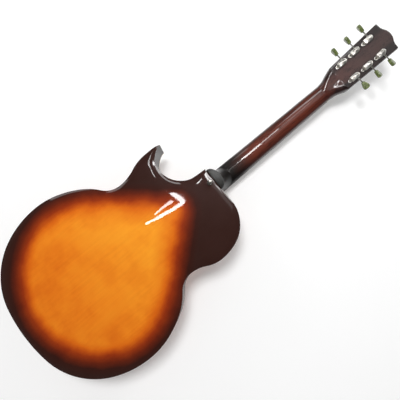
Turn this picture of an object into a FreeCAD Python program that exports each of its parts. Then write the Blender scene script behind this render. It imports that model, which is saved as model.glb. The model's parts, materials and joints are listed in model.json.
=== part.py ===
# Archtop guitar with a sharp cutaway, arched plates, a set neck and two pickups.
# Frame in millimetres: +Z runs up the neck, -Y is the face, +X is the treble side.
# The origin is the seat of the strap button on the tail.
import FreeCAD
import Part

import math
import os
import re

import Sketcher
from FreeCAD import Matrix, Placement, Rotation, Vector

SIZES = {
    # Body shell
    "body_length": 531.0,
    "lower_bout": 413.0,
    "rim_depth": 76.0,
    "side_wall": 3.2,
    "plate_wall": 5.0,
    "top_arch": 14.5,
    "back_arch": 15.0,
    "arch_run": 105.0,
    "binding_wall": 1.6,
    "lining_wide": 7.0,
    "lining_tall": 14.0,
    "neck_block_wide": 66.0,
    "neck_block_long": 58.0,
    "tail_block_wide": 70.0,
    "tail_block_long": 22.0,
    "tone_bar_wide": 7.0,
    "tone_bar_tall": 12.0,
    "tone_bar_long": 250.0,
    "tone_bar_spread": 50.0,
    "sound_hole_long": 128.0,
    "sound_hole_wide": 7.6,
    "sound_hole_spread": 92.0,
    "sound_hole_rise": 16.5,
    # Neck and fingerboard
    "scale_length": 628.6,
    "joint_fret": 14.0,
    "joint_inset": 10.0,
    "neck_pitch": 3.4,
    "neck_overstand": 11.0,
    "neck_depth_low": 19.5,
    "neck_depth_high": 16.0,
    "nut_width": 43.0,
    "joint_width": 53.6,
    "nut_wall": 5.0,
    "board_wall": 6.0,
    "board_radius": 305.0,
    "board_end_margin": 8.0,
    "fret_count": 20.0,
    "fret_wide": 2.4,
    "fret_tall": 1.1,
    "marker_radius": 3.2,
    "marker_deep": 1.6,
    "heel_half": 26.4,
    "heel_reach": 18.5,
    "heel_cap_wall": 3.0,
    "tenon_wide": 38.0,
    "tenon_long": 40.0,
    "tenon_tall": 58.0,
    "rod_radius": 2.4,
    "rod_depth": 7.5,
    "rod_nut_radius": 3.4,
    "rod_nut_long": 9.0,
    "rod_nut_room": 1.0,
    # Headstock
    "head_tilt": 14.5,
    "head_wall": 14.0,
    "head_length": 184.0,
    "head_crest": 8.5,
    "flare_long": 48.0,
    "shoulder_half": 33.5,
    "tip_half": 37.5,
    "veneer_wall": 1.8,
    "rod_cover_long": 40.0,
    "rod_cover_half": 13.0,
    "rod_cover_wall": 1.6,
    # Tuners
    "tuner_first": 72.5,
    "tuner_step": 36.5,
    "tuner_offset": 22.0,
    "worm_pitch_radius": 1.95,
    "worm_radius": 2.4,
    "worm_core": 1.45,
    "worm_half": 3.86,
    "gear_radius": 4.6,
    "gear_teeth": 15.0,
    "gear_tip_radius": 4.95,
    "gear_root_radius": 3.95,
    "gear_wide": 2.4,
    "shaft_height": 4.2,
    "shaft_tip": 29.0,
    "housing_half": 6.0,
    "housing_low": 7.0,
    "housing_high": 15.0,
    "housing_tall": 8.2,
    "housing_wall": 0.8,
    "tab_reach": 11.2,
    "tab_half": 3.6,
    "button_start": 21.0,
    "button_long": 19.0,
    "button_half": 7.8,
    "button_wall": 8.4,
    "post_radius": 3.0,
    "post_waist": 2.7,
    "post_tall": 18.0,
    "bushing_radius": 4.4,
    "bushing_flange": 5.8,
    "bushing_deep": 8.0,
    "bushing_rim": 1.2,
    # Strings and bridge
    "string_count": 6.0,
    "string_thin": 0.15,
    "string_thick": 0.62,
    "nut_spread": 35.0,
    "saddle_spread": 52.0,
    "nut_action": 0.6,
    "saddle_action": 3.4,
    "winding_turns": 2.25,
    "winding_gap": 0.5,
    "bridge_base_long": 150.0,
    "bridge_base_wide": 22.0,
    "bridge_base_tall": 7.5,
    "bridge_saddle_long": 128.0,
    "bridge_saddle_wide": 10.0,
    "bridge_stud_spread": 74.0,
    "bridge_stud_radius": 2.0,
    "bridge_stud_tall": 9.0,
    "bridge_travel": 2.6,
    "thumbwheel_radius": 9.0,
    "thumbwheel_wall": 3.0,
    "thread_depth": 0.5,
    # Tailpiece
    "tail_bar_gap": 106.5,
    "tail_bar_long": 98.0,
    "tail_bar_wide": 11.0,
    "tail_bar_tall": 9.0,
    "tail_bar_lift": 5.0,
    "tail_rod_radius": 2.6,
    "tail_rod_spread": 36.0,
    "hanger_wide": 30.0,
    "hanger_wall": 1.6,
    "hanger_drop": 28.0,
    # Pickups and controls
    "pickup_long": 69.5,
    "pickup_wide": 38.5,
    "pickup_lift": 12.0,
    "pickup_deep": 18.0,
    "ring_long": 90.0,
    "ring_wide": 46.0,
    "ring_lift": 8.0,
    "pole_radius": 2.3,
    "pole_spread": 50.0,
    "neck_pickup_clear": 6.0,
    "bridge_pickup_clear": 10.5,
    "knob_radius": 12.4,
    "knob_top_radius": 10.4,
    "knob_tall": 16.0,
    "knob_lift": 4.2,
    "knob_cap": 3.0,
    "pot_shaft_radius": 3.0,
    "pot_bush_radius": 4.7,
    "pot_can_radius": 12.0,
    "pot_can_tall": 9.0,
    "pot_nut_radius": 7.0,
    "pot_nut_tall": 2.2,
    "switch_bush_radius": 6.2,
    "switch_bore_radius": 4.4,
    "switch_bush_tall": 4.0,
    "switch_nut_radius": 9.0,
    "switch_deep": 14.0,
    "switch_ball_radius": 4.0,
    "switch_rod_radius": 1.4,
    "switch_rod_tall": 18.0,
    "switch_tip_radius": 4.2,
    "switch_tip_tall": 11.0,
    "jack_bore_radius": 3.25,
    "jack_radius": 4.75,
    "jack_nut_radius": 7.4,
    "jack_deep": 24.0,
    "jack_plate_side": 34.0,
    "jack_plate_wall": 2.0,
    # Strap buttons, screws and clearances
    "strap_base_radius": 5.8,
    "strap_waist_radius": 3.4,
    "strap_head_radius": 5.2,
    "strap_tall": 14.0,
    "strap_inset": 13.0,
    "screw_head_radius": 2.3,
    "screw_head_tall": 1.2,
    "screw_radius": 1.1,
    "screw_long": 10.0,
    "seat_gap": 0.1,
    "fit_gap": 0.15,
    "turn_gap": 0.06,
}

# Points of the body outline as shares of the half width and the length, with the heading in degrees.
# The headings are drawn for a body whose length is ASPECT_SHARE of its half width.
ASPECT_SHARE = 2.5714
BASS_SHARES = ((0.0, 0.0, 180.0), (-0.63, 0.060, 145.7), (-1.0, 0.352, 90.0), (-0.85, 0.543, 58.0),
               (-0.605, 0.680, 90.0), (-0.70, 0.819, 90.0), (-0.5485, 0.9625, 40.0), (-0.30, 1.0, 0.0))
TREBLE_SHARES = ((0.0, 0.0, 0.0), (0.63, 0.060, 34.3), (1.0, 0.352, 90.0), (0.85, 0.543, 122.0),
                 (0.60, 0.685, 90.0), (0.69, 0.848, 90.0), (0.667, 0.921, 118.0))
CUTAWAY_SHARES = ((0.667, 0.921, 262.0), (0.575, 0.863, 222.0), (0.45, 0.850, 180.0),
                  (0.27, 0.873, 143.0), (0.16, 0.940, 98.0), (0.148, 1.0, 92.0))
# Middle line of a sound hole as shares of its length, outward and upward, with the heading.
SOUND_SHARES = ((-0.150, 0.355, 88.0), (-0.078, 0.435, 0.0), (0.0, 0.335, -86.0), (0.0, 0.0, -96.0),
                (0.0, -0.335, -86.0), (0.078, -0.435, 0.0), (0.150, -0.355, 88.0))
UPPER_EYE_SHARE = 0.046
LOWER_EYE_SHARE = 0.060
# Half of a rounded and of a squared section: shares of the half width and of the depth.
ROUND_SHARES = ((1.0, 0.0), (0.93, 0.40), (0.58, 0.82), (0.0, 1.0))
SQUARE_SHARES = ((1.0, 0.0), (0.995, 0.50), (0.93, 0.93), (0.0, 1.0))
# Sections of the neck's flare into the headstock: place, width and squareness.
FLARE_SHARES = ((0.33, 0.18, 0.35), (0.68, 0.70, 0.75), (1.0, 1.0, 1.0))
# Sections of the heel from its cap to the neck: height, reach.
HEEL_SHARES = ((0.0, 1.0), (0.40, 1.38), (0.68, 1.95), (0.86, 2.75), (1.0, 3.9))
# Half of the headstock's top edge, of the rod cover and of a tuner button: across, up and heading.
CREST_SHARES = ((1.0, 0.0, 176.0), (0.42, 0.52, 148.0), (0.0, 1.0, 180.0))
COVER_SHARES = ((1.0, 0.13, 90.0), (0.45, 0.60, 112.0), (0.0, 1.0, 180.0))
BUTTON_SHARES = ((0.42, 0.0, 68.0), (1.0, 0.78, 90.0), (0.0, 1.0, 180.0))
FLARE_HEADINGS = (84.0, 60.0, 86.0)
# Screws of the rod cover, of the tailpiece hanger and of a squared plate, across and up.
COVER_SCREW_SHARES = ((0.0, 0.90), (-0.72, 0.20), (0.72, 0.20))
HANGER_SCREW_SHARES = ((-0.25, 0.25), (0.25, 0.25), (0.0, 0.75))
CORNERS = ((-1, -1), (-1, 1), (1, -1), (1, 1))
# Profile of a strap button: its radius and share of its height.
STRAP_SHARES = (("strap_base_radius", 0.14), ("strap_waist_radius", 0.36), ("strap_waist_radius", 0.62),
                ("strap_head_radius", 0.82), ("strap_head_radius", 0.94), ("strap_head_radius * 0.7", 1.0))
# Worm thread and gear notch as shares of the pitch, and the post as shares of its height and radius.
TOOTH_SHARE = 0.33
TOOTH_ROOT_SHARE = 0.62
TOOTH_TIP_SHARE = 0.38
NOTCH_SHARE = 0.30
NOTCH_BRIM_SHARE = 1.25
POST_SHOULDER_SHARE = 0.13
POST_TIP_SHARE = 0.8
# Rounding of a tuner button, wall of a housing's screw tab, oil hole, pointed end and tab root of
# its plan, and shaft collar.
BUTTON_ROUND_SHARE = 0.3
TAB_WALL_SHARE = 1.5
OIL_HOLE_SHARE = 1.5
HOUSING_TIP_SHARES = ((1.0, 0.7), (0.42, 1.0))
TAB_ROOT_SHARE = 0.86
COLLAR_SHARE = 1.5
# Growth of the strings' radii, and the first part of a turn in which a winding starts to climb.
STRING_GROWTH = 1.4
RAMP_SHARE = 0.5
TURN_STEPS = 4
# Bridge: relief under the base, depth of its studs, and the saddle's shoulders.
RELIEF_SHARE = 0.3
STUD_SHARE = 0.55
SHOULDER_SHARE = 0.5
STEP_SHARE = 0.62
# Rounding of the bridge base and of the tail bar, and the bends of a string in thick-string radii.
BASE_ROUND_SHARE = 0.9
BAR_ROUND_SHARE = 0.2
BEND_SHARE = 6.0
# Screws stand in from an edge by a share of their head, and the switch tip narrows to its neck.
SCREW_MARGIN_SHARE = 1.5
SCREW_TAPER_SHARE = 0.6
SCREW_CROWN_SHARE = 0.6
TIP_NECK_SHARE = 0.8
# Knob places as shares of the half width and the body length.
KNOB_SHARES = ((0.575, 0.325), (0.765, 0.285), (0.490, 0.222), (0.675, 0.190))
SWITCH_SHARE = (-0.46, 0.875)
JACK_SHARE_INDEX = 1
MARKER_FRETS = (3, 5, 7, 9, 12, 15, 17, 19)
# Rest turn of each tuner button, in degrees.
BUTTON_TURNS = (78.0, 82.0, 86.0, -60.0, -58.0, -4.0)
GRID_ACROSS = 37
GRID_ALONG = 47
OUTLINE_SAMPLES = 420
EPS = 1e-9

document = FreeCAD.newDocument("archtop_guitar")
sheet = document.addObject("Spreadsheet::Sheet", "sizes")
for row, (alias, amount) in enumerate(SIZES.items(), start=1):
    sheet.set(f"A{row}", alias)
    sheet.set(f"B{row}", str(amount))
    sheet.setAlias(f"B{row}", alias)
document.recompute()

sub_parts = []


def size(alias):
    """Give one driving size from the sheet."""
    return float(sheet.get(alias))


def bound(text):
    """Write an expression on the sheet's aliases."""
    return re.sub(r"[A-Za-z_]\w*", lambda found: "sizes." + found.group(0), text)


def amount_of(text):
    """Work out an expression on the sheet's aliases."""
    result = sheet.evalExpression(bound(text))
    return float(getattr(result, "Value", result))


def keep(item, label):
    """Make an object one of the written sub-parts."""
    item.Label = label
    sub_parts.append(item)
    return item


def feature(label, shapes, placement=None):
    """Keep one sub-part made of one or more solids."""
    solids = [solid for shape in shapes for solid in shape.Solids]
    item = document.addObject("Part::Feature", label)
    item.Shape = solids[0] if len(solids) == 1 else Part.makeCompound(solids)
    if placement is not None:
        item.Placement = placement
    return keep(item, label)


def draw_polygon(sketch, corners):
    """Draw a closed polygon whose corners are expressions on the sheet."""
    places = [(amount_of(across), amount_of(up)) for across, up in corners]
    count = len(places)
    for index, place in enumerate(places):
        following = places[(index + 1) % count]
        sketch.addGeometry(Part.LineSegment(Vector(*place, 0), Vector(*following, 0)), False)
    for index in range(count):
        sketch.addConstraint(Sketcher.Constraint("Coincident", index, 2, (index + 1) % count, 1))
    for index, corner in enumerate(corners):
        for kind, text, axis in zip(("DistanceX", "DistanceY"), corner, (-2, -1)):
            if text == "0":
                sketch.addConstraint(Sketcher.Constraint("PointOnObject", index, 1, axis))
                continue
            number = sketch.addConstraint(Sketcher.Constraint(kind, -1, 1, index, 1, amount_of(text)))
            sketch.setExpression(f"Constraints[{number}]", bound(text))


def sketched_body(name, plane_role, corners):
    """Start a body with one polygon sketch on an origin plane."""
    body = document.addObject("PartDesign::Body", name)
    sketch = body.newObject("Sketcher::SketchObject", name + "_sketch")
    plane = [item for item in body.Origin.OriginFeatures if item.Role == plane_role][0]
    sketch.AttachmentSupport = (plane, [""])
    sketch.MapMode = "FlatFace"
    draw_polygon(sketch, corners)
    return body, sketch


def turned(name, corners):
    """Turn a profile of radius and height about the body's own Z axis."""
    body, sketch = sketched_body(name, "XZ_Plane", corners)
    turning = body.newObject("PartDesign::Revolution", name + "_turning")
    turning.Profile = sketch
    turning.ReferenceAxis = (sketch, ["V_Axis"])
    turning.Angle = 360
    document.recompute()
    return body


def padded(name, corners, length, plane_role="XY_Plane"):
    """Pad a polygon by a length from the sheet, both ways from its plane."""
    body, sketch = sketched_body(name, plane_role, corners)
    pad = body.newObject("PartDesign::Pad", name + "_pad")
    pad.Profile = sketch
    pad.Midplane = True
    pad.setExpression("Length", bound(length))
    document.recompute()
    return body


def rectangle(half_across, half_up):
    """Give the corners of a rectangle about the origin."""
    low_across, low_up = f"-({half_across})", f"-({half_up})"
    return [(low_across, low_up), (half_across, low_up), (half_across, half_up), (low_across, half_up)]


def box(low, high, placement=None):
    """Make a box between two corners."""
    spans = [top - bottom for bottom, top in zip(low, high)]
    solid = Part.makeBox(*spans, Vector(*low))
    return moved(solid, placement) if placement is not None else solid


def moved(shape, placement):
    """Copy a shape into a frame."""
    copy = shape.copy()
    copy.Placement = placement.multiply(copy.Placement)
    return copy


def rod(start, end, radius):
    """Make a round rod between two points."""
    run = end - start
    return Part.makeCylinder(radius, run.Length, start, run)


def fused(shapes):
    """Join overlapping solids into one."""
    return shapes[0].multiFuse(shapes[1:]).removeSplitter()


# Derived levels and frames
half_bout = size("lower_bout") / 2
body_length = size("body_length")
edge_level = size("rim_depth") / 2
seat_gap = size("seat_gap")
fit_gap = size("fit_gap")
turn_gap = size("turn_gap")
inner_level = edge_level + seat_gap
outer_level = inner_level + size("plate_wall")
reach_all = 4 * body_length


def fret_distance(number):
    """Distance from the nut to a fret."""
    return size("scale_length") * (1 - 2 ** (-number / 12))


neck_length = fret_distance(size("joint_fret")) - size("joint_inset")
board_over = fret_distance(size("fret_count")) - neck_length + size("board_end_margin")
pitch_cosine = math.cos(math.radians(size("neck_pitch")))
bridge_place = body_length + (neck_length - size("scale_length")) * pitch_cosine
tail_bar_place = bridge_place - size("tail_bar_gap")
half_ring = size("ring_wide") / 2
pickup_places = [body_length - board_over * pitch_cosine - half_ring - size("neck_pickup_clear"),
                 bridge_place + size("bridge_base_wide") / 2 + half_ring + size("bridge_pickup_clear")]
neck_frame = Placement(Vector(0, -(outer_level + size("neck_overstand")), body_length),
                       Rotation(Vector(1, 0, 0), -size("neck_pitch")))
head_frame = neck_frame.multiply(Placement(Vector(0, 0, neck_length + size("nut_wall")),
                                           Rotation(Vector(1, 0, 0), -size("head_tilt"))))


# Outline of the body
def heading_of(angle):
    """Unit direction of a heading in degrees."""
    return (math.cos(math.radians(angle)), math.sin(math.radians(angle)))


def tangent_arc(start, direction, end):
    """Arc from a point along a direction to another point."""
    across = (-direction[1], direction[0])
    run = (end[0] - start[0], end[1] - start[1])
    bend = 2 * (across[0] * run[0] + across[1] * run[1])
    if abs(bend) < EPS * body_length:
        return Part.LineSegment(Vector(start[0], 0, start[1]), Vector(end[0], 0, end[1])).toShape()
    radius = (run[0] ** 2 + run[1] ** 2) / bend
    centre = (start[0] + across[0] * radius, start[1] + across[1] * radius)
    chord = ((start[0] + end[0]) / 2 - centre[0], (start[1] + end[1]) / 2 - centre[1])
    share = abs(radius) / math.hypot(*chord)
    middle = Vector(centre[0] + chord[0] * share, 0, centre[1] + chord[1] * share)
    return Part.Arc(Vector(start[0], 0, start[1]), middle, Vector(end[0], 0, end[1])).toShape()


def arc_pair(first, second):
    """Two tangent arcs between two knots, each a point with a heading."""
    start, end = first[:2], second[:2]
    leave, arrive = heading_of(first[2]), heading_of(second[2])
    run = (end[0] - start[0], end[1] - start[1])
    total = (leave[0] + arrive[0], leave[1] + arrive[1])
    spread = 2 * (1 - (leave[0] * arrive[0] + leave[1] * arrive[1]))
    along = run[0] * total[0] + run[1] * total[1]
    squared = run[0] ** 2 + run[1] ** 2
    if spread > EPS:
        reach = (-along + math.sqrt(along ** 2 + spread * squared)) / spread
    else:
        reach = squared / (2 * along)
    joint = ((start[0] + end[0] + reach * (leave[0] - arrive[0])) / 2,
             (start[1] + end[1] + reach * (leave[1] - arrive[1])) / 2)
    back = (-arrive[0], -arrive[1])
    return [tangent_arc(start, leave, joint), tangent_arc(end, back, joint)]


def arc_chain(knots):
    """Edges through a row of knots."""
    edges = []
    for first, second in zip(knots, knots[1:]):
        edges += arc_pair(first, second)
    return edges


def straight(start, end):
    """Straight edge in the outline plane."""
    return Part.LineSegment(Vector(start[0], 0, start[1]), Vector(end[0], 0, end[1])).toShape()


outline_stretch = body_length / (half_bout * ASPECT_SHARE)


def outline_knots(shares):
    """Outline points in millimetres, with the headings stretched as the outline is."""
    knots = []
    for across, up, heading in shares:
        ahead, rise = heading_of(heading)
        stretched = math.degrees(math.atan2(rise * outline_stretch, ahead))
        knots.append((across * half_bout, up * body_length, stretched))
    return knots


def closed_wire(edges):
    """Wire from edges in any order."""
    return Part.Wire(Part.__sortEdges__(edges))


bass_knots = outline_knots(BASS_SHARES)
treble_knots = outline_knots(TREBLE_SHARES)
cutaway_knots = outline_knots(CUTAWAY_SHARES)
body_wire = closed_wire(arc_chain(bass_knots) + arc_chain(treble_knots) + arc_chain(cutaway_knots)
                        + [straight(bass_knots[-1][:2], cutaway_knots[-1][:2])])


def slab(wire, low, high):
    """Solid between two levels over a wire of the outline plane."""
    face = Part.Face(wire)
    face.translate(Vector(0, low, 0))
    return face.extrude(Vector(0, high - low, 0))


def body_prism(inset, low, high):
    """Solid of the body outline, drawn in by an inset."""
    wire = body_wire if inset == 0 else body_wire.makeOffset2D(-inset)
    return slab(wire, low, high)


# Arching of the plates
border = [(point.x, point.z) for point in body_wire.discretize(Number=OUTLINE_SAMPLES)]
body_face = Part.Face(body_wire)


def edge_distance(across, up):
    """Distance inward from the outline, zero outside."""
    if not body_face.isInside(Vector(across, 0, up), seat_gap, True):
        return 0.0
    nearest = reach_all
    for (x0, z0), (x1, z1) in zip(border, border[1:] + border[:1]):
        run_x, run_z = x1 - x0, z1 - z0
        squared = run_x ** 2 + run_z ** 2
        if squared < EPS:
            continue
        share = ((across - x0) * run_x + (up - z0) * run_z) / squared
        share = min(1.0, max(0.0, share))
        gap = math.hypot(across - x0 - share * run_x, up - z0 - share * run_z)
        nearest = min(nearest, gap)
    return nearest


def rise_share(across, up):
    """Share of the arch height at a place: flat at the edge and at the middle."""
    share = min(1.0, edge_distance(across, up) / size("arch_run"))
    return share * share * (3 - 2 * share)


grid_margin = 2 * size("side_wall")
grid_across = [-half_bout - grid_margin + 2 * (half_bout + grid_margin) * i / (GRID_ACROSS - 1)
               for i in range(GRID_ACROSS)]
grid_along = [-grid_margin + (body_length + 2 * grid_margin) * j / (GRID_ALONG - 1)
              for j in range(GRID_ALONG)]
rise_grid = [[rise_share(across, up) for up in grid_along] for across in grid_across]


def arch_face(level, height):
    """Arched face that starts at a level and rises by a height, signed along Y."""
    rows = [[Vector(across, level + height * rise, up) for up, rise in zip(grid_along, column)]
            for across, column in zip(grid_across, rise_grid)]
    surface = Part.BSplineSurface()
    surface.interpolate(rows)
    return surface.toShape()


top_inner = arch_face(-inner_level, -size("top_arch"))
back_inner = arch_face(inner_level, size("back_arch"))


def over_top(gap, height):
    """Space over the top plate, from a gap to a height."""
    face = top_inner.copy()
    face.translate(Vector(0, -size("plate_wall") - gap, 0))
    return face.extrude(Vector(0, -height, 0))


def under_top(gap, height):
    """Space under the top plate, from a gap to a depth."""
    face = top_inner.copy()
    face.translate(Vector(0, gap, 0))
    return face.extrude(Vector(0, height, 0))


def top_level(across, up):
    """Y of the top's outer face."""
    return -(outer_level + size("top_arch") * rise_share(across, up))


def top_seat(across, up):
    """Frame on the top's outer face, with its Z axis along the outward normal."""
    step = size("pot_nut_radius")
    slope_x = (top_level(across + step, up) - top_level(across - step, up)) / (2 * step)
    slope_z = (top_level(across, up + step) - top_level(across, up - step)) / (2 * step)
    normal = Vector(slope_x, -1, slope_z)
    return Placement(Vector(across, top_level(across, up), up), Rotation(Vector(0, 0, 1), normal))


def spread_places(count, spread):
    """Evenly spread places about the middle line, from treble to bass."""
    return [spread / 2 - spread * index / (count - 1) for index in range(count)]


# Places of the controls and the jack
knob_seats = [top_seat(across * half_bout, up * body_length) for across, up in KNOB_SHARES]
switch_seat = top_seat(SWITCH_SHARE[0] * half_bout, SWITCH_SHARE[1] * body_length)
jack_x, jack_z, jack_heading = treble_knots[JACK_SHARE_INDEX]
jack_out = Vector(math.sin(math.radians(jack_heading)), 0, -math.cos(math.radians(jack_heading)))
jack_frame = Placement(Vector(jack_x, 0, jack_z), Rotation(Vector(0, 0, 1), jack_out))


# Wood screws: each place is a frame whose Z axis comes out of the wood
def screw_holes(frames):
    """Pilot holes for screws at some frames."""
    above = size("screw_head_tall")
    hole = Part.makeCylinder(size("screw_radius") + turn_gap / 3, above + size("screw_long") + seat_gap,
                             Vector(0, 0, above), Vector(0, 0, -1))
    return Part.makeCompound([moved(hole, frame) for frame in frames])


def facing(point, direction):
    """Frame at a point with its Z axis along a direction."""
    return Placement(point, Rotation(Vector(0, 0, 1), direction))


tuner_places = [size("tuner_first") + size("tuner_step") * index for index in range(3)]


def tuner_frame(place):
    """Frame of a bass tuner: X to the edge, Y to the tip, Z out of the headstock's back."""
    turn = Rotation(Matrix(-1, 0, 0, 0, 0, 0, 1, 0, 0, 1, 0, 0, 0, 0, 0, 1))
    local = Placement(Vector(-size("tuner_offset"), size("head_wall"), place), turn)
    return head_frame.multiply(local)


def mirrored(shape):
    """Mirror a shape across the middle plane."""
    return shape.mirror(Vector(0, 0, 0), Vector(1, 0, 0))


tab_frames = [tuner_frame(place).multiply(Placement(Vector(0, -size("tab_reach"), 0), Rotation()))
              for place in tuner_places]
mirror_point = [Vector(-frame.Base.x, frame.Base.y, frame.Base.z) for frame in tab_frames]
tab_frames += [Placement(point, frame.Rotation) for point, frame in zip(mirror_point, tab_frames)]
cover_out = head_frame.Rotation.multVec(Vector(0, -1, 0))
cover_frames = [facing(head_frame.multVec(Vector(across * size("rod_cover_half"), -size("veneer_wall"),
                                                 up * size("rod_cover_long"))), cover_out)
                for across, up in COVER_SCREW_SHARES]
hanger_frames = [facing(Vector(across * size("hanger_wide"), -edge_level + drop * size("hanger_drop"), 0),
                        Vector(0, 0, -1)) for across, drop in HANGER_SCREW_SHARES]
screw_margin = SCREW_MARGIN_SHARE * size("screw_head_radius")
ring_frames = []
for place in pickup_places:
    for side, end in CORNERS:
        corner_x = side * (size("ring_long") / 2 - screw_margin)
        corner_z = place + end * (size("ring_wide") / 2 - screw_margin)
        corner = Vector(corner_x, top_level(corner_x, corner_z), corner_z)
        ring_frames.append(facing(corner, Vector(0, -1, 0)))
jack_screw = size("jack_plate_side") / 2 - screw_margin
jack_corners = [Vector(side * jack_screw, end * jack_screw, 0) for side, end in CORNERS]
jack_screw_frames = [jack_frame.multiply(Placement(corner, Rotation())) for corner in jack_corners]


# Body shell
def tenon_box(gap):
    """Tenon of the neck, grown by a gap."""
    half = size("tenon_wide") / 2 + gap
    low = -edge_level + size("lining_wide")
    return box((-half, low - gap, body_length - size("tenon_long") - gap),
               (half, low + size("tenon_tall") + gap, body_length))


def strap_hole_of_tail():
    """Hole of the tail's strap button through the rim and the block."""
    start = Vector(0, 0, -size("side_wall"))
    return rod(start, Vector(0, 0, 2 * size("tail_block_long")), size("screw_radius") * 2)


def cutaway_room(inner):
    """Space round the cutaway's own side, which starts at the mitre in the horn's tip."""
    tip = Vector(treble_knots[-1][0], 0, treble_knots[-1][1])
    flat = [Vector(vertex.X, 0, vertex.Z) for vertex in inner.Vertexes]
    mitre = min(flat, key=lambda point: point.distanceToPoint(tip))
    floor = cutaway_knots[2][1] - 2 * size("lining_wide")
    inside = (cutaway_knots[1][0] + treble_knots[-2][0]) / 2
    beyond = tip + (tip - mitre)
    path = [(beyond.x, beyond.z), (mitre.x, mitre.z), (inside, floor), (0, floor), (0, 2 * body_length),
            (beyond.x, 2 * body_length)]
    edges = [straight(start, end) for start, end in zip(path, path[1:] + path[:1])]
    return slab(closed_wire(edges), -reach_all, reach_all)


def build_sides():
    """Three bent sides, bass, treble and cutaway, open where the tenon goes in."""
    inner = body_prism(size("side_wall"), -reach_all, reach_all)
    shell = body_prism(0, -edge_level, edge_level).cut(inner)
    shell = shell.cut(tenon_box(fit_gap))
    jack_hole = moved(Part.makeCylinder(size("jack_radius") + fit_gap, reach_all / 4,
                                        Vector(0, 0, -reach_all / 8)), jack_frame)
    jack_near = box((0, -edge_level, 0), (half_bout, edge_level, jack_z * 2))
    shell = shell.cut(jack_hole.common(jack_near)).cut(screw_holes(jack_screw_frames + hanger_frames))
    shell = shell.cut(strap_hole_of_tail())
    feature("side_bass", [shell.common(box((-reach_all, -reach_all, -reach_all), (0, reach_all, reach_all)))])
    right = shell.common(box((0, -reach_all, -reach_all), (reach_all, reach_all, reach_all)))
    feature("side_treble", [right.cut(cutaway_room(inner))])
    feature("side_cutaway", [right.common(cutaway_room(inner))])


block_wall = size("side_wall") + seat_gap


def neck_block_space(gap):
    """Room of the neck block, grown by a gap."""
    half = size("neck_block_wide") / 2 + gap
    return box((-half, -edge_level, body_length - size("neck_block_long") - gap),
               (half, edge_level, body_length))


def tail_block_space(gap):
    """Room of the tail block, grown by a gap."""
    half = size("tail_block_wide") / 2 + gap
    return box((-half, -edge_level, 0), (half, edge_level, size("tail_block_long") + gap))


def build_blocks():
    """Neck block with its mortise, tail block with its screw hole, linings between them and tone bars."""
    room = body_prism(block_wall, -edge_level, edge_level)
    neck_block = neck_block_space(0).common(room).cut(tenon_box(fit_gap))
    strap_hole = screw_hole_of_heel()
    feature("neck_block", [neck_block.cut(strap_hole)])
    tail = tail_block_space(0).common(room).cut(screw_holes(hanger_frames))
    feature("tail_block", [tail.cut(strap_hole_of_tail())])
    inner = body_prism(block_wall + size("lining_wide"), -reach_all, reach_all)
    ring = body_prism(block_wall, -edge_level, -edge_level + size("lining_tall")).cut(inner)
    ring = ring.cut(neck_block_space(seat_gap)).cut(tail_block_space(seat_gap))
    other = ring.copy()
    other.translate(Vector(0, size("rim_depth") - size("lining_tall"), 0))
    bars = []
    half_wide, half_long = size("tone_bar_wide") / 2, size("tone_bar_long") / 2
    for side in (-1, 1):
        middle = side * size("tone_bar_spread")
        bar = box((middle - half_wide, -reach_all / 4, bridge_place - half_long),
                  (middle + half_wide, 0, bridge_place + half_long))
        bars.append(bar.common(under_top(seat_gap, size("tone_bar_tall"))))
    feature("linings_and_bars", [ring, other] + bars)


def heel_strap_frame():
    """Seat of the strap button on the back, below the heel."""
    up, step = body_length - size("strap_inset"), size("strap_base_radius")
    level = outer_level + size("back_arch") * rise_share(0, up)
    slope = size("back_arch") * (rise_share(0, up + step) - rise_share(0, up - step)) / (2 * step)
    return facing(Vector(0, level + seat_gap, up), Vector(0, 1, -slope))


def screw_hole_of_heel():
    """Hole of the strap button's screw through the back into the block."""
    hole = Part.makeCylinder(size("screw_radius") * 2, size("plate_wall") + size("screw_long") * 2,
                             Vector(0, 0, seat_gap), Vector(0, 0, -1))
    return moved(hole, heel_strap_frame())


def sound_holes():
    """Both sound holes, as cutting solids."""
    long = size("sound_hole_long")
    knots = [(across * long, up * long, heading) for across, up, heading in SOUND_SHARES]
    slot = Part.Wire(Part.__sortEdges__(arc_chain(knots))).makeOffset2D(size("sound_hole_wide") / 2)
    solids = [slab(slot, -reach_all, 0)]
    for knot, share in ((knots[0], UPPER_EYE_SHARE), (knots[-1], LOWER_EYE_SHARE)):
        solids.append(Part.makeCylinder(share * long, reach_all, Vector(knot[0], -reach_all, knot[1]),
                                        Vector(0, 1, 0)))
    hole = fused(solids)
    hole.translate(Vector(size("sound_hole_spread"), 0, bridge_place + size("sound_hole_rise")))
    return Part.makeCompound([hole, mirrored(hole)])


def pickup_room(place, gap):
    """Straight room of one pickup through the top."""
    half_long = size("pickup_long") / 2 + gap
    half_wide = size("pickup_wide") / 2 + gap
    return box((-half_long, -reach_all, place - half_wide), (half_long, 0, place + half_wide))


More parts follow.
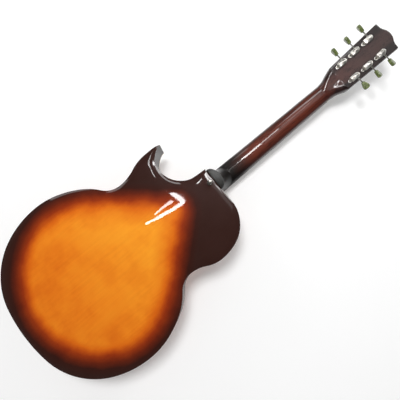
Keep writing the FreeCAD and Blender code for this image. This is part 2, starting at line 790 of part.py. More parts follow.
def build_plates():
    """Arched back, arched top with its holes, and the binding."""
    back = back_inner.extrude(Vector(0, size("plate_wall"), 0)).common(body_prism(0, 0, reach_all))
    feature("back_plate", [back.cut(screw_hole_of_heel())])
    inset = size("binding_wall") + seat_gap / 2
    top = top_inner.extrude(Vector(0, -size("plate_wall"), 0)).common(body_prism(inset, -reach_all, 0))
    holes = [sound_holes(), screw_holes(ring_frames)]
    holes += [pickup_room(place, 6 * fit_gap) for place in pickup_places]
    for seat in knob_seats:
        holes.append(moved(Part.makeCylinder(size("pot_bush_radius") + fit_gap, reach_all / 8,
                                             Vector(0, 0, -reach_all / 16)), seat))
    holes.append(moved(Part.makeCylinder(size("switch_bush_radius") + fit_gap, reach_all / 8,
                                         Vector(0, 0, -reach_all / 16)), switch_seat))
    for hole in holes:
        top = top.cut(hole)
    feature("top_plate", [top])
    binding = body_prism(0, -outer_level, -inner_level)
    feature("top_binding", [binding.cut(body_prism(size("binding_wall"), -reach_all, 0))])


# Neck
def half_width(place):
    """Half width of the neck and board at a place along the neck."""
    share = (neck_length - place) / neck_length
    return size("nut_width") / 2 + share * (size("joint_width") - size("nut_width")) / 2


def section_wire(half, depth, square, frame):
    """Closed section, flat at the face and rounded at the back."""
    shares = [(round_x + square * (square_x - round_x), round_y + square * (square_y - round_y))
              for (round_x, round_y), (square_x, square_y) in zip(ROUND_SHARES, SQUARE_SHARES)]
    right = [Vector(half * x, depth * y, 0) for x, y in shares]
    left = [Vector(-half * x, depth * y, 0) for x, y in reversed(shares[:-1])]
    curve = Part.BSplineCurve()
    curve.interpolate(right + left)
    edges = [curve.toShape(), Part.LineSegment(left[-1], right[0]).toShape()]
    return moved(Part.Wire(edges), frame)


def along(frame, place):
    """Frame moved along its own Z axis."""
    return frame.multiply(Placement(Vector(0, 0, place), Rotation()))


def heel_section(level, half, reach):
    """Rounded section of the heel at one level."""
    frame = Placement(Vector(0, level, body_length), Rotation(Vector(1, 0, 0), 90))
    return section_wire(half, reach, 0.0, frame)


def flipped(knots):
    """Knots carried over to the other side of the middle line."""
    return [(-across, up, 180.0 - heading) for across, up, heading in knots]


def head_outline():
    """Wire of the headstock beyond the flare, in its own plane."""
    low = size("flare_long") - size("nut_wall") / 2
    shoulder, tip, top = size("shoulder_half"), size("tip_half"), size("head_length")
    crest = size("head_crest")
    right = [(across * tip, top + up * crest, heading) for across, up, heading in CREST_SHARES]
    edges = arc_chain(right) + arc_chain(flipped(right))
    edges += [straight((-tip, top), (-shoulder, low)), straight((-shoulder, low), (shoulder, low)),
              straight((shoulder, low), (tip, top))]
    return closed_wire(edges)


def post_holes(radius, low, high):
    """Holes for the tuner posts between two levels of the headstock."""
    holes = []
    for place in tuner_places:
        for side in (-1, 1):
            start = head_frame.multVec(Vector(side * size("tuner_offset"), low, place))
            end = head_frame.multVec(Vector(side * size("tuner_offset"), high, place))
            holes.append(rod(start, end, radius))
    return Part.makeCompound(holes)


def rod_pocket():
    """Pocket at the nut where the truss rod's nut is reached."""
    half = size("rod_nut_radius") + size("rod_nut_room")
    floor = size("rod_depth") + size("rod_nut_radius")
    end = size("rod_nut_long") + 3 * size("nut_wall")
    return box((-half, -size("head_wall"), size("nut_wall") / 2), (half, floor, end), head_frame)


def build_neck():
    """Neck, heel and headstock in one piece of wood, with its cap, veneer and rod."""
    low, high = size("neck_depth_low"), size("neck_depth_high")
    stations = ((-size("nut_wall"), low), (neck_length + size("nut_wall"), high))
    shaft = Part.makeLoft([section_wire(half_width(place), depth, 0.0, along(neck_frame, place))
                           for place, depth in stations], True, True)
    nut_half = half_width(neck_length + size("nut_wall"))
    flare = [section_wire(nut_half, high, 0.0, along(neck_frame, neck_length + size("nut_wall")))]
    for place, width, square in FLARE_SHARES:
        half = nut_half + width * (size("shoulder_half") - nut_half)
        depth = high + width * (size("head_wall") - high)
        flare.append(section_wire(half, depth, square, along(head_frame, place * size("flare_long"))))
    flare = Part.makeLoft(flare, True, False)
    head = moved(slab(head_outline(), 0, size("head_wall")), head_frame)
    cap_level = outer_level - size("heel_cap_wall")
    neck_level = neck_frame.Base.y + low / 3
    heel_rise = neck_level - cap_level
    sections = [heel_section(cap_level + share * heel_rise, size("heel_half"), reach * size("heel_reach"))
                for share, reach in HEEL_SHARES]
    heel = Part.makeLoft(sections, True, False)
    tongue = box((-half_width(0) + size("side_wall"), 0, -board_over + fit_gap),
                 (half_width(0) - size("side_wall"), reach_all / 8, size("nut_wall")), neck_frame)
    tongue = tongue.common(over_top(seat_gap, reach_all / 8))
    tongue = tongue.common(box((-half_bout, -reach_all, 0), (half_bout, -outer_level, body_length)))
    shaft = shaft.cut(box((-half_bout, -outer_level - seat_gap, 0), (half_bout, reach_all, body_length)))
    tenon = tenon_box(0)
    tenon = tenon.fuse(box((-size("tenon_wide") / 2, tenon.BoundBox.YMin, body_length),
                           (size("tenon_wide") / 2, tenon.BoundBox.YMax, body_length + size("side_wall"))))
    neck = fused([shaft, flare, head, heel, tongue, tenon])
    channel = box((-size("rod_radius") - turn_gap, -size("seat_gap"), size("nut_wall")),
                  (size("rod_radius") + turn_gap, size("rod_depth") + size("rod_radius") + turn_gap,
                   neck_length + 2 * size("nut_wall")), neck_frame)
    above = size("veneer_wall")
    cuts = [channel, rod_pocket(), screw_holes(tab_frames + cover_frames),
            post_holes(size("post_radius") + fit_gap, -above, size("head_wall") + above),
            post_holes(size("bushing_radius") + turn_gap / 3, -above, size("bushing_deep"))]
    for cut in cuts:
        neck = neck.cut(cut)
    feature("neck", [neck])
    cap = heel_section(cap_level, size("heel_half"), size("heel_reach"))
    feature("heel_cap", [Part.Face(cap).extrude(Vector(0, size("heel_cap_wall"), 0))])
    build_veneer()
    rod_start = neck_frame.multVec(Vector(0, size("rod_depth"), 2 * size("nut_wall")))
    rod_end = neck_frame.multVec(Vector(0, size("rod_depth"), neck_length + 2 * size("nut_wall")))
    nut_end = neck_frame.multVec(Vector(0, size("rod_depth"),
                                        neck_length + 2 * size("nut_wall") + size("rod_nut_long")))
    feature("truss_rod", [fused([rod(rod_start, rod_end, size("rod_radius")),
                                 rod(rod_end, nut_end, size("rod_nut_radius"))])])


def build_veneer():
    """Black veneer on the face of the headstock and the cover over the truss rod's nut."""
    low = size("nut_wall") / 2
    flare_half = half_width(neck_length + size("nut_wall"))
    shoulder, long = size("shoulder_half"), size("flare_long")
    bend = FLARE_SHARES[1]
    bend_half = flare_half + bend[1] * (shoulder - flare_half)
    places = [(flare_half, low), (bend_half - seat_gap, bend[0] * long), (shoulder, long)]
    right = [place + (heading,) for place, heading in zip(places, FLARE_HEADINGS)]
    left = flipped(right)
    edges = arc_chain(right) + arc_chain(left)
    edges += [straight(right[0][:2], left[0][:2]), straight(right[-1][:2], left[-1][:2])]
    flare = slab(closed_wire(edges), -size("veneer_wall"), 0)
    veneer = fused([flare, slab(head_outline(), -size("veneer_wall"), 0)])
    veneer = moved(veneer, head_frame).cut(rod_pocket())
    veneer = veneer.cut(post_holes(size("bushing_radius") + turn_gap / 3, -reach_all / 8, reach_all / 8))
    feature("head_veneer", [veneer.cut(screw_holes(cover_frames))])
    half, cover_long = size("rod_cover_half"), size("rod_cover_long")
    start = size("nut_wall") - size("rod_cover_wall")
    knots = [(across * half, start + up * (cover_long - start), heading)
             for across, up, heading in COVER_SHARES]
    other = flipped(knots)
    bell = arc_chain(knots) + arc_chain(other)
    bell += [straight(knots[0][:2], (half, start)), straight((half, start), (-half, start)),
             straight((-half, start), other[0][:2])]
    cover = moved(slab(closed_wire(bell), -size("veneer_wall") - size("rod_cover_wall"),
                       -size("veneer_wall")), head_frame)
    feature("truss_rod_cover", [cover.cut(screw_holes([along(frame, size("rod_cover_wall"))
                                                       for frame in cover_frames]))])


def board_solid():
    """Whole fingerboard in the neck's frame, rounded across its top."""
    wall, radius = size("board_wall"), size("board_radius")
    corners = [(half_width(-board_over), -board_over), (half_width(neck_length), neck_length),
               (-half_width(neck_length), neck_length), (-half_width(-board_over), -board_over)]
    edges = [straight(start, end) for start, end in zip(corners, corners[1:] + corners[:1])]
    plank = slab(closed_wire(edges), -2 * wall, 0)
    barrel = Part.makeCylinder(radius, 2 * neck_length, Vector(0, radius - wall, -board_over - EPS),
                               Vector(0, 0, 1))
    return plank, plank.common(barrel)


def build_board():
    """Fingerboard with its dots, frets and nut."""
    plank, board = board_solid()
    wall, radius = size("board_wall"), size("board_radius")
    dots = []
    for number in MARKER_FRETS:
        middle = neck_length - (fret_distance(number) + fret_distance(number - 1)) / 2
        sides = (-1, 1) if number == 12 else (0,)
        for side in sides:
            seat = Vector(side * size("nut_spread") / 4, -wall + size("marker_deep"), middle)
            dots.append(Part.makeCylinder(size("marker_radius"), 2 * wall, seat, Vector(0, -1, 0)))
    dots = Part.makeCompound(dots)
    feature("fret_markers", [moved(board.common(dots), neck_frame)])
    feature("fingerboard", [moved(board.cut(dots), neck_frame)])
    crown_radius = radius + size("fret_tall")
    axis = Vector(0, radius - wall, -board_over)
    crown = Part.makeCylinder(crown_radius, 2 * neck_length, axis, Vector(0, 0, 1))
    crown = crown.cut(Part.makeCylinder(radius + turn_gap / 3, 2 * neck_length, axis, Vector(0, 0, 1)))
    frets = []
    for number in range(1, int(size("fret_count")) + 1):
        place = neck_length - fret_distance(number)
        half_fret = size("fret_wide") / 2
        bar = box((-half_bout, -3 * wall, place - half_fret), (half_bout, 0, place + half_fret))
        frets.append(moved(bar.common(plank).common(crown), neck_frame))
    feature("frets", frets)
    nut_top = wall + size("fret_tall") + size("nut_action") + 3 * size("string_thick")
    blank = box((-half_width(neck_length), -nut_top, neck_length),
                (half_width(neck_length), 0, neck_length + size("nut_wall")))
    feature("nut", [slotted(moved(blank, neck_frame), 2)])


# Strings
string_total = int(size("string_count"))
nut_places = spread_places(string_total, size("nut_spread"))
saddle_places = spread_places(string_total, size("saddle_spread"))


def string_radius(index):
    """Radius of a string, from the thinnest to the thickest."""
    share = index / (string_total - 1)
    return size("string_thin") + share ** STRING_GROWTH * (size("string_thick") - size("string_thin"))


def crown_drop(across):
    """Fall of the rounded fingerboard at a place across it."""
    return size("board_radius") - math.sqrt(size("board_radius") ** 2 - across ** 2)


def string_at_nut(index):
    """Middle of a string over the nut, in the neck's frame."""
    over = size("board_wall") + size("fret_tall") + size("nut_action") + string_radius(index)
    return Vector(nut_places[index], crown_drop(nut_places[index]) - over, neck_length + size("nut_wall") / 2)


def string_at_saddle(index):
    """Middle of a string over the saddle, in the neck's frame."""
    over = size("board_wall") + size("fret_tall") + size("saddle_action") + string_radius(index)
    return Vector(saddle_places[index], crown_drop(saddle_places[index]) - over,
                  neck_length - size("scale_length"))


def winding_knots(index, centre, level, arrive):
    """Points and directions at each quarter of a string's turns about its post, in the head's frame."""
    turn_radius = size("post_waist") + string_radius(index) + fit_gap
    side = 1 if centre.x > 0 else -1
    pitch = (2 * string_radius(index) + size("winding_gap")) / (1 - RAMP_SHARE / 2)
    knots = []
    for step in range(int(TURN_STEPS * size("winding_turns")) + 1):
        turn = step / TURN_STEPS
        climb = turn ** 2 / (2 * RAMP_SHARE) if turn < RAMP_SHARE else turn - RAMP_SHARE / 2
        slope = min(1.0, turn / RAMP_SHARE)
        angle = arrive - side * 2 * math.pi * turn
        sweep = side * 2 * math.pi * turn_radius
        place = Vector(centre.x + turn_radius * math.cos(angle), level - pitch * climb,
                       centre.z + turn_radius * math.sin(angle))
        ahead = Vector(sweep * math.sin(angle), -pitch * slope, -sweep * math.cos(angle))
        knots.append((place, ahead.normalize()))
    return knots


def string_bends(index):
    """Points of a string on tailpiece, saddle, nut and post, and the knots of its turns about the post."""
    on_treble = index < string_total // 2
    order = index if on_treble else string_total - 1 - index
    side = 1 if on_treble else -1
    centre = Vector(side * size("tuner_offset"), 0, tuner_places[order])
    at_nut = neck_frame.multVec(string_at_nut(index))
    at_saddle = neck_frame.multVec(string_at_saddle(index))
    nut_in_head = head_frame.inverse().multVec(at_nut)
    turn_radius = size("post_waist") + string_radius(index) + fit_gap
    run_x, run_z = centre.x - nut_in_head.x, centre.z - nut_in_head.z
    offset = math.acos(turn_radius / math.hypot(run_x, run_z))
    arrive = math.atan2(run_z, run_x) + math.pi - side * offset
    turns = [(head_frame.multVec(place), head_frame.Rotation.multVec(ahead))
             for place, ahead in winding_knots(index, centre, nut_in_head.y, arrive)]
    anchor = Vector(saddle_places[index], bar_level, tail_bar_place)
    return [anchor, at_saddle, at_nut, turns[0][0]], turns


def slotted(piece, bend):
    """Cut a slot for each string into the piece that it bends over, open outward."""
    reach = 2 * size("bridge_saddle_wide")
    outward = neck_frame.Rotation.multVec(Vector(0, -1, 0))
    for index in range(string_total):
        points = string_bends(index)[0]
        half = string_radius(index) + fit_gap
        floor = points[bend] - outward * half
        for neighbour in (points[bend - 1], points[bend + 1]):
            ahead = (neighbour - points[bend]).normalize()
            across = ahead.cross(outward).normalize() * half
            near, far = floor - ahead * half, floor + ahead * reach
            corners = [near - across, near + across, far + across, far - across]
            mouth = Part.Face(Part.makePolygon(corners + corners[:1]))
            piece = piece.cut(mouth.extrude(outward * reach))
    return piece


def rounded_path(points, radius):
    """Straight runs joined by tangent arcs of one radius."""
    edges = []
    start = points[0]
    for before, corner, after in zip(points, points[1:], points[2:]):
        back = (before - corner).normalize()
        ahead = (after - corner).normalize()
        half_turn = (math.pi - back.getAngle(ahead)) / 2
        reach = radius * math.tan(half_turn)
        first, last = corner + back * reach, corner + ahead * reach
        inward = (back + ahead).normalize()
        middle = corner + inward * (radius / math.cos(half_turn) - radius)
        edges.append(Part.LineSegment(start, first).toShape())
        edges.append(Part.Arc(first, middle, last).toShape())
        start = last
    edges.append(Part.LineSegment(start, points[-1]).toShape())
    return edges


def space_arc(start, direction, end):
    """Point halfway along the arc in space that leaves a point along a direction and ends at another."""
    run = end - start
    aside = run - direction * run.dot(direction)
    radius = run.dot(run) / (2 * aside.Length)
    centre = start + Vector(aside).normalize() * radius
    return centre + ((start + end) / 2 - centre).normalize() * radius


def space_arc_pair(first, second):
    """Middles and joint of two tangent arcs in space between two knots."""
    (start, leave), (end, arrive) = first, second
    run, total = end - start, leave + arrive
    spread = 2 * (1 - leave.dot(arrive))
    along_run = run.dot(total)
    reach = (math.sqrt(along_run ** 2 + spread * run.dot(run)) - along_run) / spread
    joint = (start + end + (leave - arrive) * reach) / 2
    return [start, space_arc(start, leave, joint), joint, space_arc(end, arrive * -1, joint), end]


def winding_clearance(index, points):
    """Least gap between a winding and itself, over half a turn or more."""
    apart = 2 * TURN_STEPS
    gaps = [first.distanceToPoint(second) for place, first in enumerate(points)
            for second in points[place + apart:]]
    return min(gaps) - 2 * string_radius(index)


def string_shape(index):
    """One string as an unbroken tube from the tailpiece over saddle and nut and round its post."""
    bends, turns = string_bends(index)
    edges = rounded_path(bends, BEND_SHARE * size("string_thick"))
    points = []
    for first, second in zip(turns, turns[1:]):
        pair = space_arc_pair(first, second)
        edges += [Part.Arc(*pair[:3]).toShape(), Part.Arc(*pair[2:]).toShape()]
        points += pair[:-1]
    path = Part.Wire(edges)
    profile = Part.Wire(Part.makeCircle(string_radius(index), bends[0], bends[1] - bends[0]))
    tube = path.makePipeShell([profile], True)
    print("string", index + 1, "length", round(path.Length, 1), "winding gap",
          round(winding_clearance(index, points), 2), "volume share",
          round(tube.Volume / (path.Length * math.pi * string_radius(index) ** 2), 4))
    return tube


# Bridge, tailpiece and pickups
base_level = top_level(0, bridge_place) - seat_gap
bar_level = top_level(0, tail_bar_place) - size("tail_bar_lift") - size("tail_bar_tall") / 2


def build_strings():
    """Six strings, each one tube from the tailpiece to its post."""
    feature("strings", [string_shape(index) for index in range(string_total)])


def build_bridge():
    """Base fitted to the top, two studs, two thumbwheels and the slotted saddle."""
    half_long, half_wide = size("bridge_base_long") / 2, size("bridge_base_wide") / 2
    base_top = base_level - size("bridge_base_tall")
    plan = box((-half_long, base_top, bridge_place - half_wide), (half_long, 0, bridge_place + half_wide))
    edges = [edge for edge in plan.Edges if abs(edge.Vertexes[0].Y - edge.Vertexes[-1].Y) > half_wide]
    base = plan.makeFillet(half_wide * BASE_ROUND_SHARE, edges).common(over_top(seat_gap, reach_all / 8))
    arch = size("bridge_stud_spread") / 2 - size("thumbwheel_radius") - size("side_wall")
    relief = box((-arch, base_level - size("bridge_base_tall") * RELIEF_SHARE, 0), (arch, 0, body_length))
    base = base.cut(relief)
    stud_x = size("bridge_stud_spread") / 2
    stud_radius = size("bridge_stud_radius")
    stud_top = base_top - size("bridge_stud_tall")
    stud_low = base_top + size("bridge_base_tall") * STUD_SHARE
    studs = [rod(Vector(side * stud_x, stud_low, bridge_place), Vector(side * stud_x, stud_top, bridge_place),
                 stud_radius) for side in (-1, 1)]
    for stud in studs:
        base = base.cut(stud)
    feature("bridge_base", [base])
    feature("bridge_studs", studs)
    wheel_low = base_top - size("bridge_travel")
    saddle_low = wheel_low - size("thumbwheel_wall")
    for side, name in ((-1, "bass"), (1, "treble")):
        wheel = turned(f"thumbwheel_{name}", [("bridge_stud_radius + thread_depth", "0"),
                                              ("thumbwheel_radius", "0"),
                                              ("thumbwheel_radius", "thumbwheel_wall"),
                                              ("bridge_stud_radius + thread_depth", "thumbwheel_wall")])
        wheel.Placement = facing(Vector(side * stud_x, wheel_low, bridge_place), Vector(0, -1, 0))
        keep(wheel, f"thumbwheel_{name}")
    long, wide = size("bridge_saddle_long") / 2, size("bridge_saddle_wide") / 2
    crest = neck_frame.multVec(string_at_saddle(string_total // 2)).y - size("string_thick")
    blank = box((-long, crest, bridge_place - wide), (long, saddle_low, bridge_place + wide))
    dome_radius = size("board_radius")
    dome = Part.makeCylinder(dome_radius, 4 * wide, Vector(0, crest + dome_radius, bridge_place - 2 * wide),
                             Vector(0, 0, 1))
    saddle = blank.common(dome)
    shoulder = long - (long - size("saddle_spread") / 2) * SHOULDER_SHARE
    step = saddle_low - size("bridge_saddle_wide") * STEP_SHARE
    for side in (-1, 1):
        ends = sorted((side * shoulder, side * 2 * long))
        saddle = saddle.cut(box((ends[0], -reach_all, 0), (ends[1], step, body_length)))
        bore_start = Vector(side * stud_x, saddle_low + EPS, bridge_place)
        bore_end = Vector(side * stud_x, stud_top - size("bridge_travel"), bridge_place)
        saddle = saddle.cut(rod(bore_start, bore_end, stud_radius + fit_gap))
    feature("bridge_saddle", [slotted(saddle, 1)])


def build_tailpiece():
    """Trapeze of two rods and a slotted bar, hooked into a hanger on the tail."""
    place, wide, tall = tail_bar_place, size("tail_bar_wide"), size("tail_bar_tall")
    half = size("tail_bar_long") / 2
    bar = box((-half, bar_level - tall / 2, place - wide / 2), (half, bar_level + tall / 2, place + wide / 2))
    bar = bar.makeFillet(wide * BAR_ROUND_SHARE, [edge for edge in bar.Edges if edge.Length > 4 * wide])
    rod_radius = size("tail_rod_radius")
    hook = Vector(0, -outer_level - rod_radius - size("hanger_wall") - seat_gap, -size("hanger_wall"))
    spread = size("tail_rod_spread")
    near = size("hanger_wide") / 2 + size("hanger_wall") + rod_radius
    limbs = [bar, rod(Vector(-near, hook.y, hook.z), Vector(near, hook.y, hook.z), rod_radius)]
    for side in (-1, 1):
        knee = Vector(side * near, hook.y, hook.z)
        shoulder = Vector(side * spread, bar_level, place - wide / 4)
        limbs += [rod(knee, shoulder, rod_radius), Part.makeSphere(rod_radius, knee)]
    frame = fused(limbs)
    for index in range(string_total):
        toward = neck_frame.multVec(string_at_saddle(index))
        anchor = Vector(saddle_places[index], bar_level, place)
        lead = (toward - anchor).normalize()
        frame = frame.cut(rod(anchor - lead * string_radius(index), anchor + lead * 2 * wide,
                              string_radius(index) + fit_gap))
    feature("tailpiece", [frame])
    wall, hanger_half = size("hanger_wall"), size("hanger_wide") / 2
    end = Vector(hanger_half, 0, 0)
    outer = rod(hook - end, hook + end, rod_radius + wall + fit_gap)
    inner = rod(hook - end * 2, hook + end * 2, rod_radius + fit_gap)
    plate = box((-hanger_half, hook.y, -seat_gap - wall),
                (hanger_half, -edge_level + size("hanger_drop"), -seat_gap))
    body_room = body_prism(0, -outer_level, outer_level)
    hanger = fused([outer, plate]).cut(inner).cut(body_room)
    hanger = hanger.cut(screw_holes([along(frame, wall + seat_gap) for frame in hanger_frames]))
    feature("tailpiece_hanger", [hanger])


def build_pickups():
    """Two potted pickups in fitted rings, with two rows of pole pieces."""
    rings, bodies, poles = [], [], []
    pole_places = spread_places(string_total, size("pole_spread"))
    for place in pickup_places:
        crown = top_level(0, place)
        ring_top = crown - size("ring_lift")
        half_long, half_wide = size("ring_long") / 2, size("ring_wide") / 2
        ring = box((-half_long, ring_top, place - half_wide), (half_long, 0, place + half_wide))
        tall = [edge for edge in ring.Edges if abs(edge.Vertexes[0].Y - edge.Vertexes[-1].Y) > half_wide / 2]
        ring = ring.makeFillet(size("screw_head_radius"), tall).common(over_top(seat_gap, reach_all / 8))
        rings.append(ring.cut(pickup_room(place, 2 * fit_gap)).cut(screw_holes(raised_ring_frames)))
        half_long, half_wide = size("pickup_long") / 2, size("pickup_wide") / 2
        can = box((-half_long, crown - size("pickup_lift"), place - half_wide),
                  (half_long, crown + size("pickup_deep"), place + half_wide))
        tall = [edge for edge in can.Edges if abs(edge.Vertexes[0].Y - edge.Vertexes[-1].Y) > half_wide / 2]
        can = can.makeFillet(size("screw_head_radius"), tall)
        foot = crown - size("pickup_lift") / 2
        tip = crown - size("pickup_lift") - size("fret_tall")
        rows = [place - half_wide / 2, place + half_wide / 2]
        lifted = [rod(Vector(across, foot, row), Vector(across, tip, row), size("pole_radius"))
                  for across in pole_places for row in rows]
        bodies.append(can.cut(Part.makeCompound(lifted)))
        poles += lifted
    feature("pickup_rings", rings)
    feature("pickups", bodies)
    feature("pickup_poles", poles)


ring_height = [frame.Base.y - (top_level(0, pickup_places[index // 4]) - size("ring_lift"))
               for index, frame in enumerate(ring_frames)]
raised_ring_frames = [along(frame, height) for frame, height in zip(ring_frames, ring_height)]


# Controls
def build_knobs():
    """Four knobs on their shafts, with the pots under the top."""
    knob = turned("knob_blank", [("pot_shaft_radius", "knob_lift"), ("knob_radius", "knob_lift"),
                                 ("knob_radius", "knob_lift + knob_cap"),
                                 ("knob_top_radius", "knob_lift + 2 * knob_cap"),
                                 ("knob_top_radius", "knob_lift + knob_tall"), ("0", "knob_lift + knob_tall"),
                                 ("0", "knob_lift + knob_tall - knob_cap"),
                                 ("pot_shaft_radius", "knob_lift + knob_tall - knob_cap")])
    shaft = turned("knob_shaft_blank", [("0", "-(plate_wall + pot_can_tall / 2)"),
                                        ("pot_shaft_radius", "-(plate_wall + pot_can_tall / 2)"),
                                        ("pot_shaft_radius", "knob_lift + knob_tall - knob_cap"),
                                        ("0", "knob_lift + knob_tall - knob_cap")])
    bore = "pot_shaft_radius + turn_gap"
    pot = turned("pot_blank", [(bore, "-(plate_wall + pot_can_tall / 2 + turn_gap)"),
                               ("0", "-(plate_wall + pot_can_tall / 2 + turn_gap)"),
                               ("0", "-(plate_wall + pot_can_tall + pot_nut_tall)"),
                               ("pot_can_radius", "-(plate_wall + pot_can_tall + pot_nut_tall)"),
                               ("pot_can_radius", "-(plate_wall + pot_nut_tall)"),
                               ("pot_bush_radius", "-(plate_wall + pot_nut_tall)"),
                               ("pot_bush_radius", "seat_gap + pot_nut_tall + fit_gap"),
                               (bore, "seat_gap + pot_nut_tall + fit_gap")])
    nut_corners = [(f"pot_nut_radius * {math.cos(math.radians(60 * k)):.6f}",
                    f"pot_nut_radius * {math.sin(math.radians(60 * k)):.6f}") for k in range(6)]
    nut_corners = [(x, "0" if k in (0, 3) else z) for k, (x, z) in enumerate(nut_corners)]
    nut = padded("pot_nut_blank", nut_corners, "pot_nut_tall")
    pots = []
    for number, seat in enumerate(knob_seats, start=1):
        feature(f"knob_{number}", [moved(knob.Shape, seat), moved(shaft.Shape, seat)])
        ring = moved(nut.Shape, along(seat, 2 * seat_gap + size("pot_nut_tall") / 2))
        pot_solid = moved(pot.Shape, seat)
        pots += [pot_solid, ring.cut(moved(Part.makeCylinder(size("pot_bush_radius"), reach_all / 8,
                                                             Vector(0, 0, -reach_all / 16)), seat))]
    feature("control_pots", pots)


def build_switch():
    """Three-way switch: bushing and frame, and the lever on its ball."""
    body = turned("switch_bush_blank", [("switch_bore_radius", "-switch_deep"),
                                        ("switch_bush_radius", "-switch_deep"),
                                        ("switch_bush_radius", "seat_gap"), ("switch_nut_radius", "seat_gap"),
                                        ("switch_nut_radius", "seat_gap + switch_bush_tall / 2"),
                                        ("switch_bush_radius", "seat_gap + switch_bush_tall / 2"),
                                        ("switch_bush_radius", "switch_bush_tall"),
                                        ("switch_bore_radius", "switch_bush_tall")])
    frame = padded("switch_frame_blank", rectangle("switch_nut_radius", "switch_bush_radius"), "switch_deep")
    lowered = along(switch_seat, -1.5 * size("switch_deep") - seat_gap)
    feature("switch_body", [moved(body.Shape, switch_seat), moved(frame.Shape, lowered)])
    pivot = Vector(0, 0, 0)
    ball = Part.makeSphere(size("switch_ball_radius"), pivot)
    stem = rod(pivot, Vector(0, 0, size("switch_rod_tall")), size("switch_rod_radius"))
    tip = turned("switch_tip_blank", [("0", "switch_rod_tall - switch_tip_tall / 2"),
                                      ("switch_tip_radius / 2", "switch_rod_tall - switch_tip_tall / 2"),
                                      ("switch_tip_radius", "switch_rod_tall"),
                                      (f"switch_tip_radius * {TIP_NECK_SHARE}",
                                       "switch_rod_tall + switch_tip_tall / 2"),
                                      ("0", "switch_rod_tall + switch_tip_tall / 2")])
    lever = fused([ball, stem, tip.Shape])
    feature("switch_lever", [moved(lever, along(switch_seat, -size("plate_wall") / 2))])


def build_jack():
    """Output jack through the treble side, with a square plate fitted to the rim."""
    side, wall = size("jack_plate_side") / 2, size("jack_plate_wall")
    plate = box((-side, -side, -2 * wall), (side, side, wall))
    upright = [edge for edge in plate.Edges if abs(edge.Vertexes[0].Z - edge.Vertexes[-1].Z) > wall]
    plate = moved(plate.makeFillet(size("screw_head_radius"), upright), jack_frame)
    rim = body_prism(0, -edge_level - side, edge_level + side)
    plate = plate.cut(rim).cut(moved(Part.makeCylinder(size("jack_radius") + fit_gap, 8 * wall,
                                                       Vector(0, 0, -4 * wall)), jack_frame))
    plate = plate.cut(screw_holes([along(frame, wall) for frame in jack_screw_frames]))
    feature("jack_plate", [plate])
    socket = turned("jack_socket", [("jack_bore_radius", "3.5 * jack_plate_wall"),
                                    ("jack_radius", "3.5 * jack_plate_wall"),
                                    ("jack_radius", "2 * jack_plate_wall + turn_gap"),
                                    ("jack_nut_radius", "2 * jack_plate_wall + turn_gap"),
                                    ("jack_nut_radius", "jack_plate_wall + turn_gap"),
                                    ("jack_radius", "jack_plate_wall + turn_gap"),
                                    ("jack_radius", "-(side_wall + jack_plate_wall)"),
                                    ("jack_nut_radius", "-(side_wall + jack_plate_wall)"),
                                    ("jack_nut_radius", "-jack_deep"), ("jack_bore_radius", "-jack_deep")])
    socket.Placement = jack_frame
    keep(socket, "jack_socket")


# Tuners
tuner_pitch = 2 * math.pi * size("gear_radius") / size("gear_teeth")
worm_offset = size("gear_radius") + size("worm_pitch_radius")


def worm_shape():
    """Worm and its shaft along the frame's X axis, with the thread in phase with the gear."""
    tooth = TOOTH_SHARE * tuner_pitch
    core, outer = size("worm_core"), size("worm_radius")
    half = size("worm_half")
    turns = round(2 * half / tuner_pitch)
    start = -turns * tuner_pitch / 2
    helix = Part.makeHelix(tuner_pitch, turns * tuner_pitch, core)
    helix.translate(Vector(0, 0, start))
    root, crest = tooth * TOOTH_ROOT_SHARE, tooth * TOOTH_TIP_SHARE
    inner = core - core / 4
    corners = [Vector(inner, 0, start - root), Vector(outer, 0, start - crest),
               Vector(outer, 0, start + crest), Vector(inner, 0, start + root)]
    profile = Part.makePolygon(corners + corners[:1])
    thread = Part.Wire(helix.Edges).makePipeShell([profile], True, True)
    low = -size("housing_half") + size("housing_wall") / 4
    shaft = rod(Vector(0, 0, low), Vector(0, 0, size("shaft_tip")), core)
    collar_low = size("housing_half") + size("seat_gap")
    collar = rod(Vector(0, 0, collar_low), Vector(0, 0, collar_low + 2 * core), COLLAR_SHARE * core)
    worm = shaft.fuse(thread).fuse(collar)
    turn = Rotation(Matrix(0, 0, 1, 0, -1, 0, 0, 0, 0, -1, 0, 0, 0, 0, 0, 1))
    return moved(worm, Placement(Vector(0, worm_offset, size("shaft_height")), turn))


